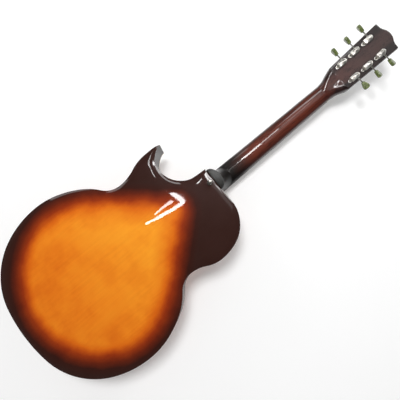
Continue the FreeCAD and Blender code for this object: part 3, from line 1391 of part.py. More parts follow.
def post_shape():
    """Post through the headstock with its gear at the back."""
    wood = size("head_wall") + size("veneer_wall")
    waist = wood + size("bushing_rim") + size("post_tall") * POST_SHOULDER_SHARE
    tip = wood + size("post_tall")
    radius = size("post_radius")
    low = size("shaft_height") - size("gear_wide") / 2
    high = size("shaft_height") + size("gear_wide") / 2
    slim = size("post_waist")
    outline = [(0, high), (radius, high), (radius, -waist), (slim, -waist - radius / 3),
               (slim, -tip + radius), (radius, -tip + radius / 2), (radius * POST_TIP_SHARE, -tip),
               (0, -tip), (0, high)]
    body = Part.makePolygon([Vector(across, 0, up) for across, up in outline])
    post = Part.Face(body).revolve(Vector(0, 0, 0), Vector(0, 0, 1), 360)
    gear = Part.makeCylinder(size("gear_tip_radius"), size("gear_wide"), Vector(0, 0, low))
    teeth = int(size("gear_teeth"))
    room = NOTCH_SHARE * tuner_pitch
    wide_room = NOTCH_BRIM_SHARE * room
    floor = size("gear_root_radius")
    brim = size("gear_tip_radius") + fit_gap
    notch = Part.makePolygon([Vector(-room, floor, low - seat_gap), Vector(room, floor, low - seat_gap),
                              Vector(wide_room, brim, low - seat_gap),
                              Vector(-wide_room, brim, low - seat_gap), Vector(-room, floor, low - seat_gap)])
    notch = Part.Face(notch).extrude(Vector(0, 0, size("gear_wide") + 2 * seat_gap))
    notches = []
    for number in range(teeth):
        copy = notch.copy()
        copy.rotate(Vector(0, 0, 0), Vector(0, 0, 1), 360 * number / teeth)
        notches.append(copy)
    gear = gear.cut(Part.makeCompound(notches))
    hole_level = -tip + 2 * radius
    hole = rod(Vector(-2 * radius, 0, hole_level), Vector(2 * radius, 0, hole_level), radius / 3)
    return fused([post, gear]).cut(hole)


def button_shape(turn):
    """Keystone button on the shaft's end, turned about the shaft."""
    start, long = size("button_start"), size("button_long")
    half, wall = size("button_half"), size("button_wall")
    knots = [(across * half, up * long, heading) for across, up, heading in BUTTON_SHARES]
    other = flipped(knots)
    outline = closed_wire(arc_chain(knots) + arc_chain(other) + [straight(knots[0][:2], other[0][:2])])
    button = slab(outline, -wall / 2, wall / 2)
    level_edges = [edge for edge in button.Edges
                   if abs(edge.BoundBox.YMax - edge.BoundBox.YMin) < EPS * long]
    button = button.makeFillet(wall * BUTTON_ROUND_SHARE, level_edges)
    upright = Rotation(Matrix(0, 0, 1, 0, 1, 0, 0, 0, 0, 1, 0, 0, 0, 0, 0, 1))
    button = moved(button, Placement(Vector(start, 0, 0), upright))
    button = button.cut(rod(Vector(0, 0, 0), Vector(size("shaft_tip"), 0, 0), size("worm_core")))
    spin = Placement(Vector(0, worm_offset, size("shaft_height")), Rotation(Vector(1, 0, 0), turn))
    return moved(button, spin)


def housing_block(half, low, high, floor, roof):
    """Block of a cover's plan: square towards the nut, pointed towards the head's tip."""
    flank = [Vector(across * half, along * high, floor) for across, along in HOUSING_TIP_SHARES]
    right = [Vector(half, low, floor)] + flank
    left = [Vector(-corner.x, corner.y, floor) for corner in reversed(right)]
    plan = Part.makePolygon(right + left + right[:1])
    return Part.Face(plan).extrude(Vector(0, 0, roof - floor))


def housing_shape():
    """Stamped cover over worm and gear, with its screw tab."""
    half, low, high, tall = (size("housing_half"), -size("housing_low"), size("housing_high"),
                             size("housing_tall"))
    wall = size("housing_wall")
    shell = housing_block(half, low, high, seat_gap, tall)
    crown = [edge for edge in shell.Edges if edge.BoundBox.ZMax > seat_gap + wall]
    shell = shell.makeFillet(2 * wall, crown)
    hollow = housing_block(half - wall, low + wall, high - wall, 0, tall - wall)
    shell = shell.cut(hollow)
    tab_end, tab_half = -size("tab_reach"), size("tab_half")
    root = half * TAB_ROOT_SHARE
    corners = [Vector(-root, low + wall, seat_gap), Vector(-tab_half, tab_end, seat_gap),
               Vector(tab_half, tab_end, seat_gap), Vector(root, low + wall, seat_gap)]
    tab = Part.Face(Part.makePolygon(corners + corners[:1])).extrude(Vector(0, 0, TAB_WALL_SHARE * wall))
    tab = tab.fuse(Part.makeCylinder(tab_half, TAB_WALL_SHARE * wall, Vector(0, tab_end, seat_gap)))
    tab = tab.cut(Part.makeCylinder(size("screw_radius") + turn_gap, 4 * wall, Vector(0, tab_end, -wall)))
    exit_hole = rod(Vector(-2 * half, worm_offset, size("shaft_height")),
                    Vector(2 * half, worm_offset, size("shaft_height")), size("worm_core") + turn_gap)
    oil_hole = Part.makeCylinder(OIL_HOLE_SHARE * wall, 4 * wall, Vector(0, 0, tall - 2 * wall))
    return fused([shell, tab]).cut(exit_hole).cut(oil_hole)


def build_tuners():
    """Six tuners: button, worm and post each, with shared housings and bushings."""
    worm, post, housing = worm_shape(), post_shape(), housing_shape()
    bush = turned("bushing_blank", [("post_radius + turn_gap", "-bushing_deep + veneer_wall"),
                                    ("bushing_radius", "-bushing_deep + veneer_wall"),
                                    ("bushing_radius", "seat_gap"),
                                    ("bushing_flange", "seat_gap"), ("bushing_flange", "bushing_rim"),
                                    ("post_radius + turn_gap", "bushing_rim")])
    housings, bushings = [], []
    half_count = string_total // 2
    for number in range(1, string_total + 1):
        on_treble = number <= half_count
        order = number - 1 if on_treble else string_total - number
        frame = tuner_frame(tuner_places[order])
        seat = head_frame.multVec(Vector(-size("tuner_offset"), -size("veneer_wall"), tuner_places[order]))
        button = button_shape(BUTTON_TURNS[number - 1])
        shapes = [moved(shape, frame) for shape in (button, worm, post, housing)]
        shapes.append(moved(bush.Shape, facing(seat, cover_out)))
        if on_treble:
            shapes = [mirrored(shape) for shape in shapes]
        feature(f"tuner_button_{number}", shapes[:1])
        feature(f"tuner_worm_{number}", shapes[1:2])
        feature(f"tuner_post_{number}", shapes[2:3])
        housings.append(shapes[3])
        bushings.append(shapes[4])
    feature("tuner_housings", housings)
    feature("tuner_bushings", bushings)


def build_fasteners():
    """Strap buttons on tail and back, and all the small wood screws."""
    profile = [("0", "-(plate_wall + screw_long)"), ("screw_radius * 2", "-(plate_wall + screw_long)"),
               ("screw_radius * 2", "seat_gap"), ("strap_base_radius", "seat_gap")]
    profile += [(radius, f"strap_tall * {share}") for radius, share in STRAP_SHARES]
    strap = turned("strap_blank", profile + [("0", "strap_tall")])
    tail_seat = facing(Vector(0, 0, 0), Vector(0, 0, -1))
    feature("strap_buttons", [moved(strap.Shape, tail_seat), moved(strap.Shape, heel_strap_frame())])
    screw = turned("screw_blank", [("0", "-screw_long + screw_head_tall"),
                                   ("screw_radius / 2", "-screw_long + screw_head_tall"),
                                   ("screw_radius", f"-screw_long * {SCREW_TAPER_SHARE}"),
                                   ("screw_radius", "seat_gap / 2"),
                                   ("screw_head_radius", "seat_gap / 2"),
                                   ("screw_head_radius", "screw_head_tall / 2"),
                                   (f"screw_head_radius * {SCREW_CROWN_SHARE}", "screw_head_tall"),
                                   ("0", "screw_head_tall")])
    raised = [along(frame, seat_gap + TAB_WALL_SHARE * size("housing_wall")) for frame in tab_frames]
    raised += [along(frame, size("rod_cover_wall")) for frame in cover_frames]
    raised += [along(frame, size("hanger_wall") + seat_gap) for frame in hanger_frames]
    raised += raised_ring_frames
    raised += [along(frame, size("jack_plate_wall")) for frame in jack_screw_frames]
    feature("wood_screws", [moved(screw.Shape, frame) for frame in raised])


build_sides()
build_blocks()
build_plates()
build_neck()
build_board()
build_strings()
build_bridge()
build_tailpiece()
build_pickups()
build_knobs()
build_switch()
build_jack()
build_tuners()
build_fasteners()
document.recompute()

for item in document.Objects:
    if "Invalid" in item.State or "Error" in item.State:
        raise RuntimeError(f"{item.Label} failed: {item.State}")
for item in sub_parts:
    if item.Shape.isNull() or not item.Shape.isValid() or not item.Shape.Solids:
        raise RuntimeError(f"{item.Label} has no valid solid")

os.makedirs("parts", exist_ok=True)
for item in sub_parts:
    item.Shape.exportStep(os.path.join("parts", item.Label + ".step"))
print(len(sub_parts), "sub-parts written")
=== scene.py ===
import json
import logging
import math
from dataclasses import dataclass, field
from enum import Enum
from functools import cache

import bmesh
import bpy
import numpy as np
from bmesh.types import BMesh
from bpy.types import ID, Material, Mesh, Node, NodeSocket, NodeTree, Object, World
from mathutils import Matrix, Vector
from mathutils.bvhtree import BVHTree
from mathutils.geometry import delaunay_2d_cdt

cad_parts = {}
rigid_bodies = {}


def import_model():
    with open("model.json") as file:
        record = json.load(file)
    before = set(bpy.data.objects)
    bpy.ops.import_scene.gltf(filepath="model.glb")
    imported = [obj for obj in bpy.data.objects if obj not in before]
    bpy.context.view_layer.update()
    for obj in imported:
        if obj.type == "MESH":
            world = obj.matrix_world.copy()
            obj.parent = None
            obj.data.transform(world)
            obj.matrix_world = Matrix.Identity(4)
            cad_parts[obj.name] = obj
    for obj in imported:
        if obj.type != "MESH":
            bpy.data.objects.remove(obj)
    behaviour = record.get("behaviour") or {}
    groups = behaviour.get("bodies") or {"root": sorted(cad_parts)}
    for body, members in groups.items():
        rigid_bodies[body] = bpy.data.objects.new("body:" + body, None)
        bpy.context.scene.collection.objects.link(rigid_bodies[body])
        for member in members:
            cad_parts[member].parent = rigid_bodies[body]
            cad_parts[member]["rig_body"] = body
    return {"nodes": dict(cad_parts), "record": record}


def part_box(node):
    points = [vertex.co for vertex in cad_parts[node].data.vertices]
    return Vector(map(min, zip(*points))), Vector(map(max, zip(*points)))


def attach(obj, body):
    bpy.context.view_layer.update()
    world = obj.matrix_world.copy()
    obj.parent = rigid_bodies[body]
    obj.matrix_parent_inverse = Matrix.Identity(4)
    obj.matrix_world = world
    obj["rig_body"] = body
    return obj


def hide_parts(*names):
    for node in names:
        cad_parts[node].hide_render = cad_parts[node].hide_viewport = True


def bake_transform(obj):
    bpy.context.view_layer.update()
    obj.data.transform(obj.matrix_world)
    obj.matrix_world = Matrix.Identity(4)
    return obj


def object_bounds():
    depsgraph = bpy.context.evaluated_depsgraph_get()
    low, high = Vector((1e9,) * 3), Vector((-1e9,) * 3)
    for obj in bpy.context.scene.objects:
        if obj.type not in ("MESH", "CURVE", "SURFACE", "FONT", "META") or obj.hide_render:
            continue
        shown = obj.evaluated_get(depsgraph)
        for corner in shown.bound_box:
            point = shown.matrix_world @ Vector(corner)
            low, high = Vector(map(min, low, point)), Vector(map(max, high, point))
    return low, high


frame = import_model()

LOG = logging.getLogger("archtop_guitar")
CAD_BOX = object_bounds()
MM = 0.001
# Points nearer than this are one, in a CAD mesh and in the cut of a plate.
WELD = 1e-6
CUT_WELD = 1e-7
# The least divisors for lengths and for areas.
TINY = 1e-18
LEAST_AREA = 1e-12
# The angle in degrees past which an edge stays sharp.
CREASE = 35.0
# The neck's own frame starts where the fingerboard passes the body's edge, with Z along the neck.
NECK_PLACE = (0, -54.1 * MM, 531 * MM)
NECK_PITCH = -3.4
NECK_SEAT = Matrix.Translation(NECK_PLACE) @ Matrix.Rotation(math.radians(NECK_PITCH), 4, "X")


def linear(code: str) -> tuple[float, float, float, float]:
    """Turns an sRGB hex colour into linear RGBA.

    Args:
        code: The colour as "#rrggbb".

    Returns:
        The linear colour with full alpha.
    """
    shares = [int(code[start:start + 2], 16) / 255 for start in (1, 3, 5)]
    red, green, blue = (share / 12.92 if share <= 0.04045 else ((share + 0.055) / 1.055) ** 2.4
                        for share in shares)
    return red, green, blue, 1.0


@dataclass(frozen=True)
class Bench:
    """A node tree in the making, with short calls for the nodes that recur.

    place holds the coordinates that patterns follow.
    """

    tree: NodeTree
    place: NodeSocket | None = None

    def add(self, kind: str, feeds: dict | None = None, settings: dict | None = None,
            stops: tuple = ()) -> Node:
        """Adds one node with its inputs, its settings and, on a ramp, its colour stops.

        Args:
            kind: The node's type name.
            feeds: Input values or output sockets by input name or number.
            settings: Properties of the node by name.
            stops: Pairs of a position and an sRGB hex colour.

        Returns:
            The new node.
        """
        node = self.tree.nodes.new(kind)
        for name, value in (settings or {}).items():
            setattr(node, name, value)
        for socket, value in (feeds or {}).items():
            if isinstance(value, NodeSocket):
                self.tree.links.new(value, node.inputs[socket])
            else:
                node.inputs[socket].default_value = value
        if stops:
            elements = node.color_ramp.elements
            while len(elements) < len(stops):
                elements.new(1.0)
            for element, (position, code) in zip(elements, stops):
                element.position = position
                element.color = linear(code)
        return node

    def out(self, kind: str, feeds: dict | None = None, settings: dict | None = None,
            output: int | str = 0) -> NodeSocket:
        """Adds one node and returns its output of that number or name."""
        return self.add(kind, feeds, settings).outputs[output]

    def ramp(self, level: NodeSocket, stops: tuple) -> NodeSocket:
        """Colours a level by the stops of a ramp."""
        return self.add("ShaderNodeValToRGB", {"Fac": level}, stops=stops).outputs["Color"]

    def noise(self, scale: float, detail: float, distortion: float = 0.0,
              place: NodeSocket | None = None) -> NodeSocket:
        """Adds noise with so many spots a metre, at the bench's place or another."""
        return self.out("ShaderNodeTexNoise", {
            "Vector": self.place if place is None else place, "Scale": scale, "Detail": detail,
            "Distortion": distortion})

    def ranged(self, value: NodeSocket, least: float, most: float, start: float = 0.0, end: float = 1.0,
               curve: str = "LINEAR") -> NodeSocket:
        """Maps a value that runs from start to end onto least to most."""
        return self.out("ShaderNodeMapRange", {
            "Value": value, "From Min": start, "From Max": end, "To Min": least, "To Max": most},
            {"interpolation_type": curve})

    def joined(self, operation: str, *values: NodeSocket | float) -> NodeSocket:
        """Joins values by arithmetic."""
        return self.out("ShaderNodeMath", dict(enumerate(values)), {"operation": operation})

    def along(self, wide: float, long: float) -> NodeSocket:
        """Stretches the place so that a spot of unit size is so wide, and so long in Z."""
        return self.out("ShaderNodeMapping", {"Vector": self.place, "Scale": (1 / wide, 1 / wide, 1 / long)})

    def tinted(self, colour: NodeSocket, veil: NodeSocket | tuple,
               share: NodeSocket | float = 1.0) -> NodeSocket:
        """Multiplies a colour by a share of a veil."""
        return self.out("ShaderNodeMix", {0: share, 6: colour, 7: veil},
                        {"data_type": "RGBA", "blend_type": "MULTIPLY"}, 2)

    def bumps(self, height: NodeSocket, strength: float, depth: float) -> NodeSocket:
        """Turns a height into a bumped normal."""
        return self.out("ShaderNodeBump", {"Height": height, "Strength": strength, "Distance": depth})

    def carried(self, name: str, kind: str) -> NodeSocket:
        """Reads an attribute of that type from geometry."""
        return self.out("GeometryNodeInputNamedAttribute", {"Name": name}, {"data_type": kind}, "Attribute")

    def painted(self, name: str) -> NodeSocket:
        """Reads an attribute of the shaded mesh."""
        return self.out("ShaderNodeAttribute", None, {"attribute_name": name}, "Fac")


def cleared(owner: Material | World) -> Bench:
    """Empties the node tree of a material or a world.

    Args:
        owner: The material or the world.

    Returns:
        The tree's bench.
    """
    owner.use_nodes = True
    owner.node_tree.nodes.clear()
    return Bench(owner.node_tree)


class Outward(Enum):
    """Direction along Y in which a plate's outer face looks."""

    BACK = 1
    FACE = -1


@dataclass(frozen=True)
class Finish:
    """A surface finish that becomes one procedural material.

    name is the material's name, and slot the record's slot that it stands for, which is not used here.
    """

    name: str
    slot: str

    def material(self) -> Material:
        """Mixes the finish's material on its first use.

        Returns:
            The material.
        """
        made = bpy.data.materials.get(self.name)
        if made is None:
            made = bpy.data.materials.new(self.name)
            bench = cleared(made)
            place = bench.out("ShaderNodeTexCoord", output="Object")
            shader = bench.out("ShaderNodeBsdfPrincipled", self.mix(Bench(bench.tree, place)))
            bench.add("ShaderNodeOutputMaterial", {"Surface": shader})
        return made

    def mix(self, bench: Bench) -> dict:
        """Builds the finish's pattern.

        Args:
            bench: The material's nodes, with the Object coordinates as their place.

        Returns:
            The shader's inputs by name.
        """
        raise NotImplementedError


@dataclass(frozen=True)
class SunburstLacquer(Finish):
    """Cellulose lacquer sprayed dark towards the edge of figured maple, then buffed.

    To the eye it is a deep wet gloss over an amber middle, with faint upright grain and soft clouds of
    stain under the coat. The mesh's "burst" attribute runs from 0 at the dark edge to 1 in the middle.
    """

    stops: tuple = ()
    grain_wide: float = 2.6 * MM
    grain_long: float = 110 * MM
    streaks: tuple = ((0.3, "#f7f1ec"), (0.55, "#fdfbf9"), (0.8, "#ffffff"))
    cloud: float = 38 * MM
    drift: float = 0.06
    stain: tuple = ((0.34, "#f9ebdd"), (0.5, "#fef8f2"), (0.66, "#ffffff"))
    ripple: float = 30 * MM

    def mix(self, bench: Bench) -> dict:
        """Sprays the burst over grain and clouds under a clear coat.

        Args:
            bench: The material's nodes.

        Returns:
            The shader's inputs by name.
        """
        clouds = bench.noise(1 / self.cloud, detail=3.0)
        shifted = bench.joined("ADD", bench.painted("burst"), bench.ranged(clouds, -self.drift, self.drift))
        along = bench.along(self.grain_wide, self.grain_long)
        grain = bench.noise(1.0, detail=4.0, distortion=0.6, place=along)
        colour = bench.tinted(bench.ramp(shifted, self.stops), bench.ramp(grain, self.streaks))
        colour = bench.tinted(colour, bench.ramp(clouds, self.stain))
        skin = bench.bumps(bench.noise(1 / self.ripple, detail=1.0), strength=0.15, depth=0.2 * MM)
        return {"Base Color": colour, "Roughness": 0.5, "Specular IOR Level": 0.1, "Coat Weight": 1.0,
                "Coat Roughness": 0.03, "Coat IOR": 1.5, "Coat Normal": skin}


@dataclass(frozen=True)
class GrainedWood(Finish):
    """Sawn and sanded wood with open pores, stained, and lacquered where coat is above 0.

    To the eye it is short dark pores and long soft bands along the grain. zones are stops of colour
    along Z from low to high; the flank field is the start, end and tint of painted shade across X, darker
    towards the rounded flanks; and thin the start and end of a rubbed stretch along Z with the coat that is
    left on it.
    """

    zones: tuple = ()
    low: float = 0.0
    high: float = 1.0
    pore_wide: float = 1.1 * MM
    pore_long: float = 26 * MM
    pore_tint: str = "#9c8478"
    painted_flank_shade: tuple = ()
    thin: tuple = ()
    coat: float = 0.0
    roughness: float = 0.5

    def mix(self, bench: Bench) -> dict:
        """Lays the pores over the zones of colour.

        Args:
            bench: The material's nodes.

        Returns:
            The shader's inputs by name.
        """
        axes = bench.add("ShaderNodeSeparateXYZ", {"Vector": bench.place}).outputs
        span = bench.ranged(axes["Z"], 0.0, 1.0, self.low, self.high)
        along = bench.along(self.pore_wide, self.pore_long)
        pores = bench.noise(1.0, detail=5.0, place=along)
        bands = bench.noise(0.14, detail=2.0, place=along)
        dark = bench.ranged(bench.joined("ADD", pores, bands), 0.0, 1.0, start=0.7, end=1.25)
        tint = bench.ramp(dark, ((0.0, self.pore_tint), (0.6, "#ffffff"), (1.0, "#ffffff")))
        colour = bench.tinted(bench.ramp(span, self.zones), tint)
        # Painted shade: the colour darkens across X towards the neck's rounded flanks.
        if self.painted_flank_shade:
            start, end, shade = self.painted_flank_shade
            share = bench.ranged(bench.joined("ABSOLUTE", axes["X"]), 0.0, 1.0, start, end, "SMOOTHSTEP")
            colour = bench.tinted(colour, linear(shade), share)
        coat = self.coat
        if self.thin:
            start, end, left = self.thin
            coat = bench.ranged(span, left, self.coat, start, end)
        skin = bench.bumps(pores, strength=0.2, depth=0.1 * MM)
        return {"Base Color": colour, "Roughness": self.roughness, "Specular IOR Level": 0.25,
                "Coat Weight": coat, "Coat Roughness": 0.05, "Normal": skin}


@dataclass(frozen=True)
class PlatedMetal(Finish):
    """Metal that is stamped or turned, polished and plated.

    To the eye it is a bright mirror, clouded by handling and crossed by hair scratches. The scratches
    are drawn a few times coarser than real ones so that they show.
    """

    colour: str = "#d9d6cf"
    tarnish: str = "#a79f90"
    roughness: float = 0.14
    haze: float = 0.3
    cloud: float = 9 * MM
    scratch: float = 0.5 * MM
    scratch_share: float = 0.06
    scratch_turn: tuple = (0.3, 0.5, 0.2)

    def mix(self, bench: Bench) -> dict:
        """Clouds the polish and scratches it.

        Args:
            bench: The material's nodes.

        Returns:
            The shader's inputs by name.
        """
        clouds = bench.noise(1 / self.cloud, detail=4.0)
        colour = bench.ramp(clouds, ((0.32, self.tarnish), (0.55, self.colour), (1.0, self.colour)))
        dull = bench.ranged(clouds, self.haze, self.roughness, start=0.3, end=0.6)
        long = self.scratch_share / self.scratch
        lines = bench.out("ShaderNodeMapping", {
            "Vector": bench.place, "Rotation": self.scratch_turn, "Scale": (1 / self.scratch, long, long)})
        skin = bench.bumps(bench.noise(1.0, detail=2.0, place=lines), strength=0.08, depth=0.05 * MM)
        return {"Base Color": colour, "Metallic": 1.0, "Roughness": dull, "Normal": skin}


@dataclass(frozen=True)
class MouldedPlastic(Finish):
    """Plastic or celluloid, moulded or cut from sheet and polished.

    To the eye it is an even colour with slow drifts of shade, a soft gloss and a faint orange peel.
    """

    colour: str = "#17171a"
    shade: str = "#0e0e10"
    drift: float = 14 * MM
    peel: float = 1.2 * MM
    roughness: float = 0.25
    coat: float = 0.3

    def mix(self, bench: Bench) -> dict:
        """Drifts the colour and adds the peel.

        Args:
            bench: The material's nodes.

        Returns:
            The shader's inputs by name.
        """
        drift = bench.noise(1 / self.drift, detail=3.0)
        dull = bench.ranged(drift, self.roughness * 1.4, self.roughness * 0.7)
        skin = bench.bumps(bench.noise(1 / self.peel, detail=1.0), strength=0.06, depth=0.05 * MM)
        return {"Base Color": bench.ramp(drift, ((0.3, self.shade), (0.62, self.colour))), "Roughness": dull,
                "Coat Weight": self.coat, "Coat Roughness": 0.08, "Normal": skin}


@dataclass(frozen=True)
class PearlCelluloid(Finish):
    """Celluloid with pearl flake, cast, cut to shape and yellowed with age.

    To the eye it is swirled light and dark, as if the light came from under the surface.
    """

    stops: tuple = ()
    swirl: float = 5 * MM
    coat: float = 0.6

    def mix(self, bench: Bench) -> dict:
        """Swirls the flakes under a polished skin.

        Args:
            bench: The material's nodes.

        Returns:
            The shader's inputs by name.
        """
        swirls = bench.noise(1 / self.swirl, detail=2.5, distortion=2.2)
        return {"Base Color": bench.ramp(swirls, self.stops), "Roughness": bench.ranged(swirls, 0.18, 0.4),
                "Coat Weight": self.coat, "Coat Roughness": 0.05}


@dataclass(frozen=True)
class DrawnWire(Finish):
    """Drawn steel wire, wound with finer wire where wrap is above 0.

    To the eye it is a bright line, ribbed across where it is wound, with painted shade in the grooves
    between the ribs. The ribs are drawn coarser than the real wrap so that they show.
    """

    colour: str = "#c9c6c0"
    # The colour of the specks on plain wire, and of the painted shade in the grooves between wraps.
    speck_and_groove_shade: str = "#6f6a62"
    speck: float = 3 * MM
    wrap: float = 0.0

    def mix(self, bench: Bench) -> dict:
        """Ribs the wire along the mesh's "along" attribute, or specks it where it is plain.

        Args:
            bench: The material's nodes.

        Returns:
            The shader's inputs by name.
        """
        if not self.wrap:
            specks = bench.noise(1 / self.speck, detail=2.0)
            colour = bench.ramp(specks, ((0.3, self.speck_and_groove_shade), (0.5, self.colour)))
            return {"Base Color": colour, "Metallic": 1.0, "Roughness": 0.22}
        wave = bench.joined("SINE", bench.joined("MULTIPLY", bench.painted("along"), 2 * math.pi / self.wrap))
        rib = bench.ranged(wave, 0.0, 1.0, -1.0)
        # Painted shade: the ramp darkens the grooves between the wraps, besides their bump.
        return {"Base Color": bench.ramp(rib, ((0.0, self.speck_and_groove_shade), (0.6, self.colour))), "Metallic": 1.0,
                "Roughness": 0.3, "Normal": bench.bumps(rib, strength=0.6, depth=0.1 * MM)}


BURST_STOPS = ((0.0, "#351d18"), (0.13, "#38170f"), (0.26, "#652109"), (0.4, "#983607"), (0.48, "#bf510a"),
               (0.57, "#e1700f"), (0.7, "#f0891b"), (1.0, "#fda326"))
NECK_ZONES = ((0.0, "#15120f"), (0.1, "#17120f"), (0.15, "#361a13"), (0.22, "#662815"), (0.55, "#622510"),
              (0.66, "#4c1f14"), (0.72, "#4b2620"), (0.8, "#452823"), (1.0, "#36201c"))
BACK_LACQUER = SunburstLacquer("maple_sunburst_lacquer_back", "burst_back", BURST_STOPS)
TOP_LACQUER = SunburstLacquer("maple_sunburst_lacquer_top", "burst_top", BURST_STOPS)
SIDE_LACQUER = GrainedWood("maple_dark_lacquer_sides", "burst_side", (
    (0.0, "#241210"), (0.5, "#2c1613"), (1.0, "#1f1211")), high=0.53, pore_wide=4 * MM, pore_long=90 * MM,
    coat=0.35)
# The neck's flanks get painted shade, darker from 10 to 23 mm off the middle across X.
NECK_LACQUER = GrainedWood("mahogany_lacquered", "neck_wood", NECK_ZONES, low=0.53, high=1.07,
                           painted_flank_shade=(10 * MM, 23 * MM, "#86685c"), thin=(0.13, 0.17, 0.1), coat=1.0)
INNER_WOOD = GrainedWood("spruce_raw", "inner_wood", ((0.0, "#c39a63"), (1.0, "#cfa972")), roughness=0.7)
ROSEWOOD = GrainedWood("rosewood_oiled", "dark_wood", ((0.0, "#33211a"), (0.5, "#3c271d"), (1.0, "#35221a")),
                       pore_wide=0.9 * MM, pore_long=20 * MM, pore_tint="#7d6a60", roughness=0.42)
IVORY_BINDING = MouldedPlastic("celluloid_binding", "binding", "#e2d3ac", "#d2c092", drift=20 * MM,
                               roughness=0.22, coat=0.6)
BLACK_TRIM = MouldedPlastic("black_celluloid", "black_trim", "#15140f", "#0d0d0b", roughness=0.14, coat=0.8)
WORN_BLACK = MouldedPlastic("black_celluloid_worn", "black_trim", "#15140f", "#0d0d0b", roughness=0.42,
                            coat=0.0)
PEARL_DOT = PearlCelluloid("pearl_inlay", "pearl", (
    (0.3, "#b9b6a8"), (0.5, "#e6e3d6"), (0.7, "#cfd2cb")), swirl=3 * MM)
BUTTON_PEARL = PearlCelluloid("aged_green_pearloid", "button_plastic", (
    (0.3, "#343f1c"), (0.48, "#535f2d"), (0.6, "#717d46"), (0.75, "#98a270")), swirl=6 * MM)
BONE = MouldedPlastic("bone_polished", "bone", "#e8dfc6", "#d5c8a6", drift=5 * MM, peel=0.5 * MM,
                      roughness=0.35, coat=0.2)
NICKEL = PlatedMetal("nickel_plated", "nickel")
COVER_NICKEL = PlatedMetal("nickel_plated_covers", "nickel", "#f3f0ea", "#dcd7cd", roughness=0.32,
                           haze=0.4)
STEEL = PlatedMetal("steel_turned", "steel", "#bdbab4", "#8d8981", roughness=0.22, haze=0.38)
KNOB_AMBER = MouldedPlastic("amber_acrylic_knob", "knob_plastic", "#c98a2b", "#a4671a", drift=10 * MM,
                            roughness=0.12, coat=1.0)
IVORY_TIP = MouldedPlastic("ivory_tip_plastic", "ivory_tip", "#dfcea2", "#cbb888", drift=6 * MM,
                           roughness=0.2, coat=0.6)
PLAIN_WIRE = DrawnWire("plain_steel_wire", "steel")
WOUND_WIRE = DrawnWire("nickel_wound_wire", "steel", wrap=1.1 * MM)


def linked(name: str, data: ID) -> Object:
    """Makes an object and links it to the scene.

    Args:
        name: The object's name.
        data: Its mesh, light or camera.

    Returns:
        The object.
    """
    made = bpy.data.objects.new(name, data)
    bpy.context.scene.collection.objects.link(made)
    return made


def drawn(name: str, points: list, edges: list, faces: list) -> Object:
    """Makes a mesh object.

    Args:
        name: The object's name.
        points: Its points.
        edges: Pairs of point numbers.
        faces: Rows of point numbers.

    Returns:
        The object.
    """
    mesh = bpy.data.meshes.new(name)
    mesh.from_pydata([tuple(point) for point in points], edges, faces)
    return linked(name, mesh)


def mark(mesh: Mesh, name: str, values: np.ndarray) -> None:
    """Writes a number or a vector for each point of a mesh as a named attribute."""
    kind, entry = ("FLOAT", "value") if values.ndim == 1 else ("FLOAT_VECTOR", "vector")
    mesh.attributes.new(name, kind, "POINT").data.foreach_set(entry, values.astype(np.float32).ravel())


def rounded(mesh: BMesh, edges: list, radius: float, segments: int) -> None:
    """Rounds edges of a mesh by a radius in so many segments."""
    bmesh.ops.bevel(mesh, geom=edges, offset=radius, segments=segments, profile=0.5, affect="EDGES",
                    clamp_overlap=True)


def welded(node: str) -> BMesh:
    """Copies a CAD node's triangles into a welded mesh.

    Args:
        node: The node's name.

    Returns:
        A new mesh that the caller frees.
    """
    mesh = bmesh.new()
    mesh.from_mesh(frame["nodes"][node].data)
    bmesh.ops.remove_doubles(mesh, verts=mesh.verts, dist=WELD)
    return mesh


def surface(node: str) -> BVHTree:
    """Makes a CAD node's surface ready for ray casts.

    Args:
        node: The node's name.

    Returns:
        The surface.
    """
    mesh = welded(node)
    tree = BVHTree.FromBMesh(mesh)
    mesh.free()
    return tree


def new_piece(name: str, mesh: BMesh | Mesh, crease: float = CREASE) -> Object:
    """Links a mesh as an object at the origin, shaded smooth up to a crease.

    Args:
        name: The piece's name.
        mesh: The mesh, which is freed if it is a BMesh.
        crease: The angle in degrees past which an edge stays sharp.

    Returns:
        The new object.
    """
    data = mesh
    if isinstance(mesh, BMesh):
        data = bpy.data.meshes.new(name)
        mesh.to_mesh(data)
        mesh.free()
    data.shade_smooth()
    data.set_sharp_from_angle(angle=math.radians(crease))
    return linked(name, data)


def evaluated(carrier: Object, name: str) -> Object:
    """Bakes an object's modifiers into a plain mesh and removes the object.

    Args:
        carrier: The object with the modifiers.
        name: The new piece's name.

    Returns:
        The baked piece.
    """
    graph = bpy.context.evaluated_depsgraph_get()
    mesh = bpy.data.meshes.new_from_object(carrier.evaluated_get(graph))
    bpy.data.objects.remove(carrier)
    mesh.name = name
    return new_piece(name, mesh)


def grown(carrier: Object, tree: NodeTree, values: dict, name: str) -> Object:
    """Runs a Geometry Nodes tree on an object and bakes the result.

    Args:
        carrier: The object that carries the points or paths.
        tree: The tree.
        values: The tree's inputs by name.
        name: The new piece's name.

    Returns:
        The baked piece.
    """
    growth = carrier.modifiers.new("growth", "NODES")
    growth.node_group = tree
    for item in tree.interface.items_tree:
        if item.in_out == "INPUT" and item.name in values:
            growth[item.identifier] = values[item.name]
    return evaluated(carrier, name)


def grow_tree(name: str, label: str, kind: str) -> tuple[Bench, list[NodeSocket]]:
    """Starts a Geometry Nodes tree that takes geometry, a material and one input more.

    Args:
        name: The tree's name.
        label: The further input's name.
        kind: The further input's socket type.

    Returns:
        The tree's bench and the three inputs.
    """
    tree = bpy.data.node_groups.new(name, "GeometryNodeTree")
    inputs = {"Geometry": "NodeSocketGeometry", "Material": "NodeSocketMaterial", label: kind}
    for entry, socket_type in inputs.items():
        tree.interface.new_socket(entry, in_out="INPUT", socket_type=socket_type)
    tree.interface.new_socket("Geometry", in_out="OUTPUT", socket_type="NodeSocketGeometry")
    bench = Bench(tree)
    given = bench.add("NodeGroupInput").outputs
    return bench, [given[entry] for entry in inputs]


